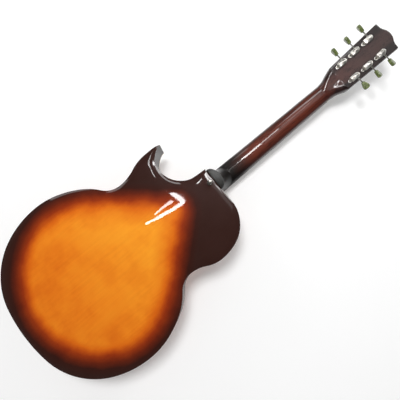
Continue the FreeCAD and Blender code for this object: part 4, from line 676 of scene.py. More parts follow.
def end_tree(bench: Bench, shape: NodeSocket, material: NodeSocket) -> NodeTree:
    """Ends a tree in real geometry with its material.

    Args:
        bench: The tree's bench.
        shape: The geometry.
        material: The material's input.

    Returns:
        The tree.
    """
    real = bench.out("GeometryNodeRealizeInstances", {"Geometry": shape})
    dressed = bench.out("GeometryNodeSetMaterial", {"Geometry": real, "Material": material})
    bench.add("NodeGroupOutput", {"Geometry": dressed})
    return bench.tree


@cache
def wire_tree() -> NodeTree:
    """Makes the tree that draws a round wire along each path, "thick" in radius.

    Returns:
        The tree, with inputs Facets and Material.
    """
    bench, (start, material, facets) = grow_tree("wire_along_path", "Facets", "NodeSocketInt")
    length = bench.out("GeometryNodeSplineParameter", output="Length")
    marked = bench.out("GeometryNodeStoreNamedAttribute", {
        "Geometry": bench.out("GeometryNodeMeshToCurve", {"Mesh": start}), "Name": "along", "Value": length},
        {"data_type": "FLOAT", "domain": "POINT"})
    ring = bench.out("GeometryNodeCurvePrimitiveCircle", {"Resolution": facets, "Radius": 1.0})
    wire = bench.out("GeometryNodeCurveToMesh", {
        "Curve": marked, "Profile Curve": ring, "Scale": bench.carried("thick", "FLOAT"), "Fill Caps": True})
    return end_tree(bench, wire, material)


@cache
def plant_tree() -> NodeTree:
    """Makes the tree that sets a pattern piece on each point, along its "axis" and "size" times as large.

    Returns:
        The tree, with inputs Pattern and Material.
    """
    bench, (start, material, pattern) = grow_tree("pattern_on_points", "Pattern", "NodeSocketObject")
    axis, size = (bench.carried(name, "FLOAT_VECTOR") for name in ("axis", "size"))
    turned = bench.out("FunctionNodeAlignRotationToVector", {"Vector": axis}, {"axis": "Z"})
    shape = bench.out("GeometryNodeObjectInfo", {"Object": pattern}, output="Geometry")
    planted = bench.out("GeometryNodeInstanceOnPoints", {
        "Points": start, "Instance": shape, "Rotation": turned, "Scale": size})
    return end_tree(bench, planted, material)


def lathed(profile: tuple, facets: int) -> BMesh:
    """Turns a profile about Z into a closed mesh.

    Args:
        profile: Pairs of radius and height, from one end on the axis to the other.
        facets: The number of facets around.

    Returns:
        A new mesh that the caller frees.
    """
    mesh = bmesh.new()
    rings = []
    for radius, height in profile:
        turns = [2 * math.pi * step / facets for step in range(facets if radius else 1)]
        rings.append([mesh.verts.new((radius * math.cos(turn), radius * math.sin(turn), height))
                      for turn in turns])
    for low, high in zip(rings, rings[1:]):
        for step in range(facets):
            corners = [low[step % len(low)], low[(step + 1) % len(low)],
                       high[(step + 1) % len(high)], high[step % len(high)]]
            mesh.faces.new(list(dict.fromkeys(corners)))
    bmesh.ops.recalc_face_normals(mesh, faces=mesh.faces)
    return mesh


def islands(node: str) -> list[np.ndarray]:
    """Splits a CAD node into its loose parts.

    Args:
        node: The node's name.

    Returns:
        The points of each part.
    """
    mesh = welded(node)
    seen, parts = set(), []
    for first in mesh.verts:
        if first in seen:
            continue
        seen.add(first)
        part, front = [], [first]
        while front:
            vertex = front.pop()
            part.append(tuple(vertex.co))
            near = [edge.other_vert(vertex) for edge in vertex.link_edges]
            fresh = [other for other in near if other not in seen]
            seen.update(fresh)
            front += fresh
        parts.append(np.array(part))
    mesh.free()
    return parts


def border_gap(points: np.ndarray, loop: np.ndarray, rows_at_once: int = 1500) -> np.ndarray:
    """Measures how far points lie inside a closed loop of the XZ plane.

    Args:
        points: Rows of x and z.
        loop: Rows of x and z around the loop.
        rows_at_once: About how many points are measured together.

    Returns:
        The distance to the loop, negative outside it.
    """
    start, end = loop, np.roll(loop, -1, axis=0)
    run = end - start
    squared = np.maximum((run ** 2).sum(1), TINY)
    gaps = []
    for rows in np.array_split(points, max(1, len(points) // rows_at_once)):
        away = rows[:, None, :] - start[None]
        share = np.clip((away * run).sum(2) / squared, 0, 1)
        nearest = np.sqrt(((away - share[..., None] * run) ** 2).sum(2).min(1))
        above = (start[:, 1] > rows[:, 1:2]) != (end[:, 1] > rows[:, 1:2])
        safe = np.where(run[:, 1] == 0, TINY, run[:, 1])
        crossing = start[:, 0] + (rows[:, 1:2] - start[:, 1]) * run[:, 0] / safe
        inside = (above & (rows[:, 0:1] < crossing)).sum(1) % 2 == 1
        gaps.append(np.where(inside, nearest, -nearest))
    return np.concatenate(gaps)


@dataclass
class Assembly:
    """A sub-assembly that dresses its CAD nodes and adds pieces of its own."""

    pieces: list = field(default_factory=list, init=False)

    def settle(self, piece: Object, finish: Finish, *nodes: str, body: str = "") -> Object:
        """Gives a piece its finish and body, and hides the CAD nodes that it stands for.

        Args:
            piece: The finished mesh object.
            finish: The finish.
            nodes: The CAD nodes that it replaces.
            body: The body that it rides on, by default that of the first node.

        Returns:
            The piece.
        """
        piece.data.materials.clear()
        piece.data.materials.append(finish.material())
        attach(piece, body or frame["nodes"][nodes[0]]["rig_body"])
        if nodes:
            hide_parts(*nodes)
        self.pieces.append(piece)
        return piece

    def dress(self, node: str, finish: Finish, edge: float = 0.0, flat: float = 0.6) -> Object:
        """Replaces a CAD node by a smooth copy, with its sharp outer edges broken by a radius.

        Args:
            node: The CAD node.
            finish: The finish.
            edge: The radius in metres, or 0 to leave the edges.
            flat: The angle in degrees up to which faces are joined before their edges are broken.

        Returns:
            The new piece.
        """
        mesh = welded(node)
        if edge:
            bmesh.ops.dissolve_limit(mesh, angle_limit=math.radians(flat), verts=mesh.verts, edges=mesh.edges)
            sharp = [line for line in mesh.edges if len(line.link_faces) == 2 and line.is_convex
                     and line.calc_face_angle() > math.radians(CREASE)]
            rounded(mesh, sharp, edge, segments=2)
        return self.settle(new_piece(f"{node}_finished", mesh), finish, node)

    def dress_all(self, finish: Finish, *nodes: str) -> None:
        """Replaces CAD nodes by smooth copies in one finish."""
        for node in nodes:
            self.dress(node, finish)

    def paint(self, finish: Finish, *nodes: str) -> None:
        """Assigns a finish to CAD nodes that stay as they are.

        Args:
            finish: The finish.
            nodes: The CAD nodes.
        """
        for kept in (frame["nodes"][node] for node in nodes):
            if not kept.material_slots:
                kept.data.materials.append(finish.material())
            for place in kept.material_slots:
                place.material = finish.material()

    def planted(self, name: str, pattern: BMesh, spots: list, finish: Finish) -> Object:
        """Sets a pattern on spots.

        Args:
            name: The new piece's name.
            pattern: The pattern's mesh, along Z.
            spots: Rows of a place, an axis and three scales.
            finish: The finish.

        Returns:
            The pieces as one mesh.
        """
        points, axes, sizes = zip(*spots)
        cloud = drawn(f"{name}_points", points, [], [])
        for label, rows in (("axis", axes), ("size", sizes)):
            mark(cloud.data, label, np.array([tuple(row) for row in rows]))
        shown = new_piece(f"{name}_pattern", pattern)
        piece = grown(cloud, plant_tree(), {"Pattern": shown, "Material": finish.material()}, name)
        bpy.data.objects.remove(shown)
        return piece

    def build(self) -> None:
        """Builds and dresses the sub-assembly."""
        raise NotImplementedError


@dataclass
class ArchedPlate:
    """One arched plate of the body, meshed evenly over the CAD plate's outline and holes.

    Its edge rolls down by roll_deep over roll_wide, on rows of points at the shares roll_rows of that width.
    """

    node: str
    outward: Outward
    wall: float = 5 * MM
    spacing: float = 5 * MM
    row_share: float = 0.866
    margin_share: float = 0.7
    edge_round: float = 1.4 * MM
    roll_wide: float = 0.0
    roll_deep: float = 0.0
    roll_rows: tuple = (0.14, 0.3, 0.48, 0.7, 1.0)
    roll_step: float = 3 * MM
    roll_slack: float = 0.95
    hole_round: float = 0.6 * MM
    least_hole: float = 24 * MM
    fairing: int = 60
    roll_fairing: int = 8
    least_lean: float = 0.5
    far: float = 0.5
    crease: float = 50.0

    def loops(self) -> list[np.ndarray]:
        """Finds the borders of the plate's outer face.

        Returns:
            The points of each border, the outline first.
        """
        mesh = welded(self.node)
        outer = {face for face in mesh.faces if face.normal.y * self.outward.value > self.least_lean}
        links = {}
        for edge in mesh.edges:
            if sum(face in outer for face in edge.link_faces) == 1:
                first, second = edge.verts
                links.setdefault(first, []).append(second)
                links.setdefault(second, []).append(first)
        found = []
        while links:
            here = next(iter(links))
            walk = [here]
            while links.get(here):
                ahead = links[here].pop()
                links[ahead].remove(here)
                if not links[here]:
                    del links[here]
                here = ahead
                walk.append(here)
            links.pop(here, None)
            loop = np.array([tuple(vertex.co) for vertex in walk[:-1]])
            if np.linalg.norm(np.diff(loop, axis=0), axis=1).sum() > self.least_hole:
                found.append(loop)
        mesh.free()
        return sorted(found, key=lambda loop: -np.ptp(loop[:, 2]))

    def divided(self, loop: np.ndarray) -> np.ndarray:
        """Divides the long runs of a loop.

        Args:
            loop: The loop's points.

        Returns:
            Points that are no further apart than the spacing.
        """
        rows = []
        for here, ahead in zip(loop, np.roll(loop, -1, axis=0)):
            count = max(1, math.ceil(np.linalg.norm(ahead - here) / self.spacing))
            rows += [here + (ahead - here) * step / count for step in range(count)]
        return np.array(rows)

    def rolled(self, outline: np.ndarray) -> np.ndarray:
        """Sets rows of points inside the outline, on which its rolled edge is drawn.

        Args:
            outline: Rows of x and z around the plate.

        Returns:
            The rows' points.
        """
        closed = np.concatenate([outline, outline[:1]])
        trail = np.concatenate([[0], np.linalg.norm(np.diff(closed, axis=0), axis=1).cumsum()])
        stops = np.linspace(0, trail[-1], round(trail[-1] / self.roll_step), endpoint=False)
        even = np.stack([np.interp(stops, trail, closed[:, axis]) for axis in (0, 1)], 1)
        run = np.roll(even, -2, axis=0) - np.roll(even, 2, axis=0)
        inward = np.stack([-run[:, 1], run[:, 0]], 1) / np.linalg.norm(run, axis=1)[:, None]
        if np.median(border_gap(even + inward * MM, outline)) < 0:
            inward = -inward
        rows = []
        for share in self.roll_rows:
            row = even + inward * self.roll_wide * share
            rows.append(row[border_gap(row, outline) > self.roll_slack * self.roll_wide * share])
        return np.concatenate(rows)

    @staticmethod
    def within(points: np.ndarray, borders: list, edge: float = 0.0, hole: float = 0.0) -> np.ndarray:
        """Tells which points lie by edge inside the outline and by hole outside each hole.

        Args:
            points: Rows of x and z.
            borders: The borders in x and z, the outline first.
            edge: The least distance from the outline.
            hole: The least distance from a hole.

        Returns:
            True where a point does.
        """
        kept = border_gap(points, borders[0]) > edge
        for loop in borders[1:]:
            kept &= border_gap(points, loop) < -hole
        return kept

    def grid(self, borders: list[np.ndarray]) -> np.ndarray:
        """Lays the plate's inner points, those of the rolled edge first.

        Args:
            borders: The borders in x and z, the outline first.

        Returns:
            Rows of x and z.
        """
        low, high = borders[0].min(0), borders[0].max(0)
        columns = np.arange(low[0], high[0], self.spacing)
        rows = np.arange(low[1], high[1], self.spacing * self.row_share)
        grid = np.array([(across + (self.spacing / 2 if number % 2 else 0), up)
                         for number, up in enumerate(rows) for across in columns])
        margin = self.margin_share * self.spacing
        grid = grid[self.within(grid, borders, self.roll_wide + margin, margin)]
        return np.concatenate([self.rolled(borders[0]), grid]) if self.roll_wide else grid

    @staticmethod
    def faired(levels: np.ndarray, places: np.ndarray, triangles: np.ndarray, loose: np.ndarray,
               rounds: int) -> np.ndarray:
        """Smooths the levels of the loose points, with weights under which a flat slope stays as it is.

        Args:
            levels: The level of each point.
            places: Rows of x and z of the points.
            triangles: Rows of three point numbers.
            loose: True where a point may move.
            rounds: How often each point moves towards its neighbours.

        Returns:
            The faired levels.
        """
        ends, others, weights = [], [], []
        for turn in range(3):
            here, ahead, across = (triangles[:, (turn + step) % 3] for step in range(3))
            one, two = places[here] - places[across], places[ahead] - places[across]
            weight = (one * two).sum(1) / np.maximum(np.abs(np.cross(one, two)), LEAST_AREA)
            ends += [here, ahead]
            others += [ahead, here]
            weights += [weight, weight]
        ends, others, weights = (np.concatenate(rows) for rows in (ends, others, weights))
        total = np.bincount(ends, weights, len(levels))
        loose = loose & (total > 0)
        total[~loose] = 1.0
        for _ in range(rounds):
            mean = np.bincount(ends, weights * levels[others], len(levels)) / total
            levels = np.where(loose, (levels + mean) / 2, levels)
        return levels

    def solid(self, faces: tuple, corners: np.ndarray, on_outline: np.ndarray) -> BMesh:
        """Closes the plate between its two faces and rounds its outer rims.

        Args:
            faces: The points of the outer and of the inner face.
            corners: Rows of three point numbers.
            on_outline: True where a point lies on the outline.

        Returns:
            A new mesh that the caller frees.
        """
        mesh = bmesh.new()
        outer, under = ([mesh.verts.new(point) for point in points] for points in faces)
        for corner in corners:
            mesh.faces.new([outer[place] for place in corner])
        rims = [edge for edge in mesh.edges if edge.is_boundary]
        number = {vertex: place for place, vertex in enumerate(outer)}
        bounds = [(number[loop.vert], number[loop.link_loop_next.vert])
                  for edge in rims for loop in edge.link_loops]
        for corner in corners:
            mesh.faces.new([under[place] for place in corner[::-1]])
        for first, second in bounds:
            mesh.faces.new((outer[second], outer[first], under[first], under[second]))
        outline_rims, hole_rims = [], []
        for edge in rims:
            outlined = all(on_outline[number[vertex]] for vertex in edge.verts)
            (outline_rims if outlined else hole_rims).append(edge)
        for geometry, radius in ((outline_rims, self.edge_round), (hole_rims, self.hole_round)):
            if geometry:
                rounded(mesh, geometry, radius, segments=3)
        loose = [vertex for vertex in mesh.verts if not vertex.link_faces]
        bmesh.ops.delete(mesh, geom=loose, context="VERTS")
        return mesh

    def build(self) -> tuple[Object, np.ndarray]:
        """Builds the plate.

        Returns:
            The plate and its outline in x and z.
        """
        loops = [self.divided(loop) for loop in self.loops()]
        borders = [loop[:, [0, 2]] for loop in loops]
        grid = self.grid(borders)
        side = self.outward.value
        tree = surface(self.node)
        hits = [tree.ray_cast(Vector((across, self.far * side, up)), Vector((0, -side, 0)))[0]
                for across, up in grid]
        levels = np.concatenate([loop[:, 1] for loop in loops] + [[hit.y if hit else 0.0 for hit in hits]])
        edges, count = [], 0
        for loop in borders:
            edges += [(count + step, count + (step + 1) % len(loop)) for step in range(len(loop))]
            count += len(loop)
        points = [Vector(point) for point in np.concatenate(borders + [grid])]
        cut = delaunay_2d_cdt(points, edges, [], 0, CUT_WELD)
        places = np.array([tuple(vertex) for vertex in cut[0]])
        origin = np.array([sources[0] for sources in cut[3]])
        corners = np.array(cut[2])
        corners = corners[self.within(places[corners].mean(1), borders)]
        loose = origin >= count
        levels = self.faired(levels[origin], places, corners, loose, self.fairing)
        under = levels - side * self.wall
        if self.roll_wide:
            inset = np.clip(1 - border_gap(places, borders[0]) / self.roll_wide, 0, 1)
            levels = levels - side * self.roll_deep * inset ** 2
            levels = self.faired(levels, places, corners, loose, self.roll_fairing)
        first, second, third = (places[corners[:, place]] for place in range(3))
        wrong = np.cross(second - first, third - first) * side > 0
        corners[wrong] = corners[wrong][:, ::-1]
        faces = tuple(np.stack([places[:, 0], level, places[:, 1]], 1) for level in (levels, under))
        mesh = self.solid(faces, corners, origin < len(borders[0]))
        return new_piece(f"{self.node}_arched", mesh, self.crease), borders[0]


@dataclass
class Body(Assembly):
    """The hollow body: arched plates, bent sides, binding and the wood inside."""

    # Half of the sprayed burst's middle line on the back, from the tail up, in millimetres.
    pear: tuple = ((0, 44), (60, 54), (116, 88), (153, 138), (168, 190), (160, 240), (136, 290), (99, 332),
                   (62, 374), (27, 414), (0, 446))
    fade: float = 100 * MM
    fade_start: float = 46 * MM
    top_margin: float = 46 * MM
    # Painted shade: below the higher of these two heights the burst's middle is capped lower, down to the
    # least share at the lower one, so the body is painted darker towards the bottom.
    painted_light_low: float = 150 * MM
    painted_light_high: float = 340 * MM
    painted_light_least: float = 0.66
    cuts: int = 3
    cut_share: float = 0.25

    def spray(self, plate: Object, loop: np.ndarray, inset: float) -> None:
        """Writes the burst's level on a plate: 0 at the dark edge and 1 in the middle.

        Args:
            plate: The plate.
            loop: A closed loop of x and z that the fade follows.
            inset: How far inside the loop the middle of the fade lies.
        """
        mesh = plate.data
        places = np.empty(len(mesh.vertices) * 3)
        mesh.vertices.foreach_get("co", places)
        flat = places.reshape(-1, 3)[:, [0, 2]]
        gap = border_gap(flat, loop) - inset
        # Painted shade: the burst's middle is capped lower towards the bottom of the body.
        rise = np.clip((flat[:, 1] - self.painted_light_low) / (self.painted_light_high - self.painted_light_low), 0, 1)
        most = self.painted_light_least + (1 - self.painted_light_least) * rise
        level = np.minimum(np.clip((gap + self.fade_start) / self.fade, 0, 1), most)
        mark(mesh, "burst", level)

    def pear_loop(self) -> np.ndarray:
        """Closes and rounds the burst's middle line.

        Returns:
            Rows of x and z around it.
        """
        half = np.array(self.pear, float) * MM
        loop = np.concatenate([half, half[-2:0:-1] * (-1, 1)])
        near, far = 1 - self.cut_share, self.cut_share
        for _ in range(self.cuts):
            after = np.roll(loop, -1, axis=0)
            loop = np.stack([loop * near + after * far, loop * far + after * near], 1).reshape(-1, 2)
        return loop

    def build(self) -> None:
        """Builds the plates and dresses the rest of the shell."""
        back, _ = ArchedPlate("back_plate", Outward.BACK, roll_wide=13 * MM, roll_deep=3.2 * MM,
                              fairing=260).build()
        self.spray(back, self.pear_loop(), 0.0)
        self.settle(back, BACK_LACQUER, "back_plate")
        top, outline = ArchedPlate("top_plate", Outward.FACE, edge_round=0.4 * MM).build()
        self.spray(top, outline, self.top_margin)
        self.settle(top, TOP_LACQUER, "top_plate")
        self.dress_all(SIDE_LACQUER, "side_bass", "side_treble", "side_cutaway")
        self.dress("top_binding", IVORY_BINDING)
        self.paint(INNER_WOOD, "neck_block", "tail_block", "linings_and_bars")


@dataclass
class Neck(Assembly):
    """The neck with its heel and headstock, the fingerboard and their trim.

    shaft gives where the faired back of the shaft starts, is full, falls off and ends along the neck.
    """

    voxel: float = 1.3 * MM
    smoothing: int = 7
    core: float = 4 * MM
    shaft: tuple = (72 * MM, 98 * MM, 292 * MM, 318 * MM)
    round_back: tuple = (74.0, 92.0)
    sweep: tuple = (-100, 101, 2)
    stations: int = 60
    line_order: int = 4
    evening: int = 3
    far: float = 0.1
    least_reach: float = 8 * MM
    most_shift: float = 3 * MM

    def reaches(self, turns: np.ndarray, heights: np.ndarray) -> np.ndarray:
        """Measures the CAD neck about its core and smooths its lines.

        Args:
            turns: The directions in which it is measured.
            heights: The places along the neck.

        Returns:
            The distance from the core, with a row for each direction.
        """
        tree = surface("neck")
        reach = np.empty((len(turns), len(heights)))
        for row, turn in enumerate(turns):
            out = Vector((math.sin(turn), math.cos(turn), 0))
            for column, height in enumerate(heights):
                start = NECK_SEAT @ (Vector((0, self.core, height)) + out * self.far)
                hit = tree.ray_cast(start, NECK_SEAT.to_3x3() @ -out)[3]
                reach[row, column] = self.far - (hit or self.far)
            reach[row] = np.polyval(np.polyfit(heights, reach[row], self.line_order), heights)
        for _ in range(self.evening):
            reach[1:-1] = (reach[:-2] + 2 * reach[1:-1] + reach[2:]) / 4
        return reach

    def fair_shaft(self, piece: Object) -> None:
        """Draws the shaft's round back along smooth lines, so that lights run along it unbroken.

        Args:
            piece: The carved neck.
        """
        start, full, fall, end = self.shaft
        brink, edge = (math.radians(angle) for angle in self.round_back)
        heights = np.linspace(start, end, self.stations)
        turns = np.radians(np.arange(*self.sweep))
        reach = self.reaches(turns, heights)
        to_neck = NECK_SEAT.inverted()
        for vertex in piece.data.vertices:
            local = to_neck @ vertex.co
            away = math.hypot(local.x, local.y - self.core)
            turn = math.atan2(local.x, local.y - self.core)
            if not start < local.z < end or abs(turn) > turns[-1] or away < self.least_reach:
                continue
            row = (turn - turns[0]) / (turns[1] - turns[0])
            column = (local.z - start) / (heights[1] - heights[0])
            first, second = min(int(row), len(turns) - 2), min(int(column), len(heights) - 2)
            across, along = row - first, column - second
            near = reach[first:first + 2, second:second + 2]
            wanted = float(np.array((1 - across, across)) @ near @ np.array((1 - along, along)))
            share = float(np.clip((local.z - start) / (full - start), 0, 1)
                          * np.clip((end - local.z) / (end - fall), 0, 1)
                          * np.clip((edge - abs(turn)) / (edge - brink), 0, 1))
            if abs(wanted - away) < self.most_shift:
                scale = 1 + share * share * (3 - 2 * share) * (wanted - away) / away
                level = self.core + (local.y - self.core) * scale
                vertex.co = NECK_SEAT @ Vector((local.x * scale, level, local.z))

    def carved_neck(self) -> Object:
        """Blends the neck's shaft, heel and head into one carved surface.

        Returns:
            The carved neck.
        """
        blank = new_piece("neck_blank", welded("neck"))
        carve = blank.modifiers.new("carve", "REMESH")
        carve.mode = "VOXEL"
        carve.voxel_size = self.voxel
        sand = blank.modifiers.new("sand", "SMOOTH")
        sand.factor = 0.5
        sand.iterations = self.smoothing
        carved = evaluated(blank, "neck_carved")
        self.fair_shaft(carved)
        return carved

    def build(self) -> None:
        """Carves the neck and dresses what is glued to it."""
        self.settle(self.carved_neck(), NECK_LACQUER, "neck")
        self.dress("heel_cap", WORN_BLACK, 0.7 * MM)
        self.dress_all(BLACK_TRIM, "head_veneer", "truss_rod_cover")
        self.dress("fingerboard", ROSEWOOD)
        self.dress("frets", NICKEL)
        self.dress("fret_markers", PEARL_DOT)
        self.dress("nut", BONE)
        self.paint(STEEL, "truss_rod")


@dataclass
class Tuners(Assembly):
    """Six geared tuners in stamped covers, three on each side of the head."""

    count: int = 6

    def build(self) -> None:
        """Dresses buttons, worms, posts, covers and bushings."""
        for number in range(1, self.count + 1):
            self.dress(f"tuner_button_{number}", BUTTON_PEARL)
            self.dress(f"tuner_worm_{number}", STEEL)
            self.dress(f"tuner_post_{number}", NICKEL)
        self.dress("tuner_housings", COVER_NICKEL)
        self.dress("tuner_bushings", NICKEL)


@dataclass
class StringSet(Assembly):
    """Six strings from the tail bar over saddle and nut to their posts, with their turns on the posts."""

    head_tilt: float = -14.5
    scale_length: float = 628.6 * MM
    neck_length: float = 338.6 * MM
    nut_wall: float = 5 * MM
    board_radius: float = 305 * MM
    over_board: float = 7.1 * MM
    nut_action: float = 0.6 * MM
    saddle_action: float = 3.4 * MM
    nut_spread: float = 35 * MM
    saddle_spread: float = 52 * MM
    thin: float = 0.15 * MM
    thick: float = 0.62 * MM
    growth: float = 1.4
    count: int = 6
    wound_from: int = 3
    bar_level: float = -67.1 * MM
    bar_place: float = 135.0 * MM
    tuner_first: float = 72.5 * MM
    tuner_step: float = 36.5 * MM
    tuner_offset: float = 22 * MM
    post_waist: float = 2.7 * MM
    post_gap: float = 0.15 * MM
    turns: float = 2.25
    turn_gap: float = 0.5 * MM
    ramp: float = 0.5
    steps: int = 20
    facets: int = 12

    def head(self) -> Matrix:
        """Returns the frame of the tilted head."""
        return (NECK_SEAT @ Matrix.Translation((0, 0, self.neck_length + self.nut_wall))
                @ Matrix.Rotation(math.radians(self.head_tilt), 4, "X"))

    def radius(self, index: int) -> float:
        """Returns a string's radius, thin on the treble side."""
        return self.thin + (index / (self.count - 1)) ** self.growth * (self.thick - self.thin)

    def over(self, across: float, action: float, radius: float) -> float:
        """Returns the level of a string's middle over the crowned board."""
        crown = self.board_radius - math.sqrt(self.board_radius ** 2 - across ** 2)
        return crown - self.over_board - action - radius

    def path(self, index: int) -> list[Vector]:
        """Works out one string's points.

        Args:
            index: The string, from treble to bass.

        Returns:
            The tail bar's point, the saddle's, the nut's and those of the turns on the post.
        """
        head = self.head()
        share, radius = 0.5 - index / (self.count - 1), self.radius(index)
        at_nut, at_saddle = share * self.nut_spread, share * self.saddle_spread
        nut = NECK_SEAT @ Vector((at_nut, self.over(at_nut, self.nut_action, radius),
                                  self.neck_length + self.nut_wall / 2))
        saddle = NECK_SEAT @ Vector((at_saddle, self.over(at_saddle, self.saddle_action, radius),
                                     self.neck_length - self.scale_length))
        side = 1 if index < self.count // 2 else -1
        order = index if side > 0 else self.count - 1 - index
        middle = Vector((side * self.tuner_offset, 0, self.tuner_first + order * self.tuner_step))
        from_nut = head.inverted() @ nut
        turn_radius = self.post_waist + radius + self.post_gap
        run_x, run_z = middle.x - from_nut.x, middle.z - from_nut.z
        arrive = math.atan2(run_z, run_x) + math.pi - side * math.acos(turn_radius / math.hypot(run_x, run_z))
        pitch = (2 * radius + self.turn_gap) / (1 - self.ramp / 2)
        points = [Vector((at_saddle, self.bar_level, self.bar_place)), saddle, nut]
        for step in range(int(self.steps * self.turns) + 1):
            turn = step / self.steps
            climb = turn ** 2 / (2 * self.ramp) if turn < self.ramp else turn - self.ramp / 2
            angle = arrive - side * 2 * math.pi * turn
            points.append(head @ Vector((middle.x + turn_radius * math.cos(angle), from_nut.y - pitch * climb,
                                         middle.z + turn_radius * math.sin(angle))))
        return points

    def wires(self, name: str, runs: list, finish: Finish) -> Object:
        """Draws wires along several runs of points, in the strings' place.

        Args:
            name: The piece's name.
            runs: Pairs of a run's points and its radius.
            finish: The finish.

        Returns:
            The wires as one mesh.
        """
        points, edges, thick = [], [], []
        for run, radius in runs:
            first = len(points)
            points += run
            edges += [(first + step, first + step + 1) for step in range(len(run) - 1)]
            thick += [radius] * len(run)
        paths = drawn(f"{name}_path", points, edges, [])
        mark(paths.data, "thick", np.array(thick))
        piece = grown(paths, wire_tree(), {"Facets": self.facets, "Material": finish.material()}, name)
        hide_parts("strings")
        self.pieces.append(piece)
        return piece

    def build(self) -> None:
        """Draws plain and wound strings, behind the saddle and before it."""
        paths = [(self.path(index), self.radius(index)) for index in range(self.count)]
        for label, finish, group in (("plain", PLAIN_WIRE, paths[:self.wound_from]),
                                     ("wound", WOUND_WIRE, paths[self.wound_from:])):
            tails = [(path[:2], radius) for path, radius in group]
            necks = [(path[1:], radius) for path, radius in group]
            behind = self.wires(f"{label}_strings_tail", tails, finish)
            ahead = self.wires(f"{label}_strings_neck", necks, finish)
            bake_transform(behind)
            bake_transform(ahead)


@dataclass
class Bridge(Assembly):
    """The bridge on its thumbwheels, and the tailpiece that holds the strings."""

    ridges: int = 40
    ridge_radius: float = 0.42 * MM
    ridge_facets: int = 6
    ridge_sunk: float = 0.6
    ridge: tuple = ((0, -0.46), (1, -0.4), (1, 0.4), (0, 0.46))

    def knurled(self, node: str) -> None:
        """Sets fine ridges round a thumbwheel's rim.

        Args:
            node: The thumbwheel.
        """
        low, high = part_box(node)
        middle = (low + high) / 2
        rim = (high.x - low.x) / 2 - self.ridge_radius * self.ridge_sunk
        size = (self.ridge_radius, self.ridge_radius, high.y - low.y)
        turns = [2 * math.pi * step / self.ridges for step in range(self.ridges)]
        spots = [(middle + Vector((rim * math.cos(turn), 0, rim * math.sin(turn))), (0, 1, 0), size)
                 for turn in turns]
        piece = self.planted(f"{node}_ridges", lathed(self.ridge, self.ridge_facets), spots, NICKEL)
        self.settle(piece, NICKEL, body=frame["nodes"][node]["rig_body"])

    def build(self) -> None:
        """Dresses the bridge and the tailpiece."""
        self.dress("bridge_base", ROSEWOOD, 0.5 * MM)
        self.dress("bridge_saddle", ROSEWOOD)
        self.dress("bridge_studs", STEEL)
        for node in ("thumbwheel_bass", "thumbwheel_treble"):
            self.dress(node, NICKEL, 0.3 * MM)
            self.knurled(node)
        self.dress_all(NICKEL, "tailpiece", "tailpiece_hanger")


@dataclass
class Electrics(Assembly):
    """Pickups in their rings, knobs, switch and jack.

    Flutes run on a knob from the first to the second share of its height.
    """

    knobs: int = 4
    flutes: int = 36
    flute_radius: float = 0.55 * MM
    flute_facets: int = 6
    flute_shares: tuple = (0.16, 0.9)
    flute: tuple = ((0, -0.5), (1, -0.44), (1, 0.44), (0, 0.5))
    crown_share: float = 0.8

    def fluted(self, name: str) -> None:
        """Sets grip flutes round a knob's skirt.

        Args:
            name: The knob, which is a node and a body.
        """
        joint = next(row for row in frame["record"]["behaviour"]["joints"] if row["name"] == f"{name}_turn")
        axis, foot = Vector(joint["axis"]), Vector(joint["pos_m"])
        mesh = welded(name)
        rows = np.array([tuple(vertex.co - foot) for vertex in mesh.verts])
        mesh.free()
        rise = rows @ np.array(axis)
        reach = np.linalg.norm(rows - rise[:, None] * np.array(axis), axis=1)
        low, tall = rise.min(), np.ptp(rise)
        reaches = (reach[rise < low + tall / 2].max(), reach[rise > low + self.crown_share * tall].max())
        side = axis.orthogonal().normalized()
        across = axis.cross(side)
        size = (self.flute_radius, self.flute_radius, (self.flute_shares[1] - self.flute_shares[0]) * tall)
        spots = []
        for step in range(self.flutes):
            turn = 2 * math.pi * step / self.flutes
            out = side * math.cos(turn) + across * math.sin(turn)
            start, end = (foot + axis * (low + share * tall) + out * away
                          for share, away in zip(self.flute_shares, reaches))
            spots.append(((start + end) / 2, (end - start).normalized(), size))
        piece = self.planted(f"{name}_flutes", lathed(self.flute, self.flute_facets), spots, KNOB_AMBER)
        self.settle(piece, KNOB_AMBER, body=name)

    def build(self) -> None:
        """Dresses pickups, knobs, switch and jack."""
        self.dress("pickup_rings", BLACK_TRIM, 0.8 * MM)
        self.dress("pickups", NICKEL, 1.0 * MM)
        self.dress("pickup_poles", STEEL)
        for number in range(1, self.knobs + 1):
            self.dress(f"knob_{number}", KNOB_AMBER, 0.6 * MM)
            self.fluted(f"knob_{number}")
        self.dress("control_pots", STEEL)
        self.dress("switch_body", NICKEL)
        self.dress("switch_lever", IVORY_TIP)
        self.dress("jack_plate", NICKEL, 0.4 * MM)
        self.dress("jack_socket", NICKEL)


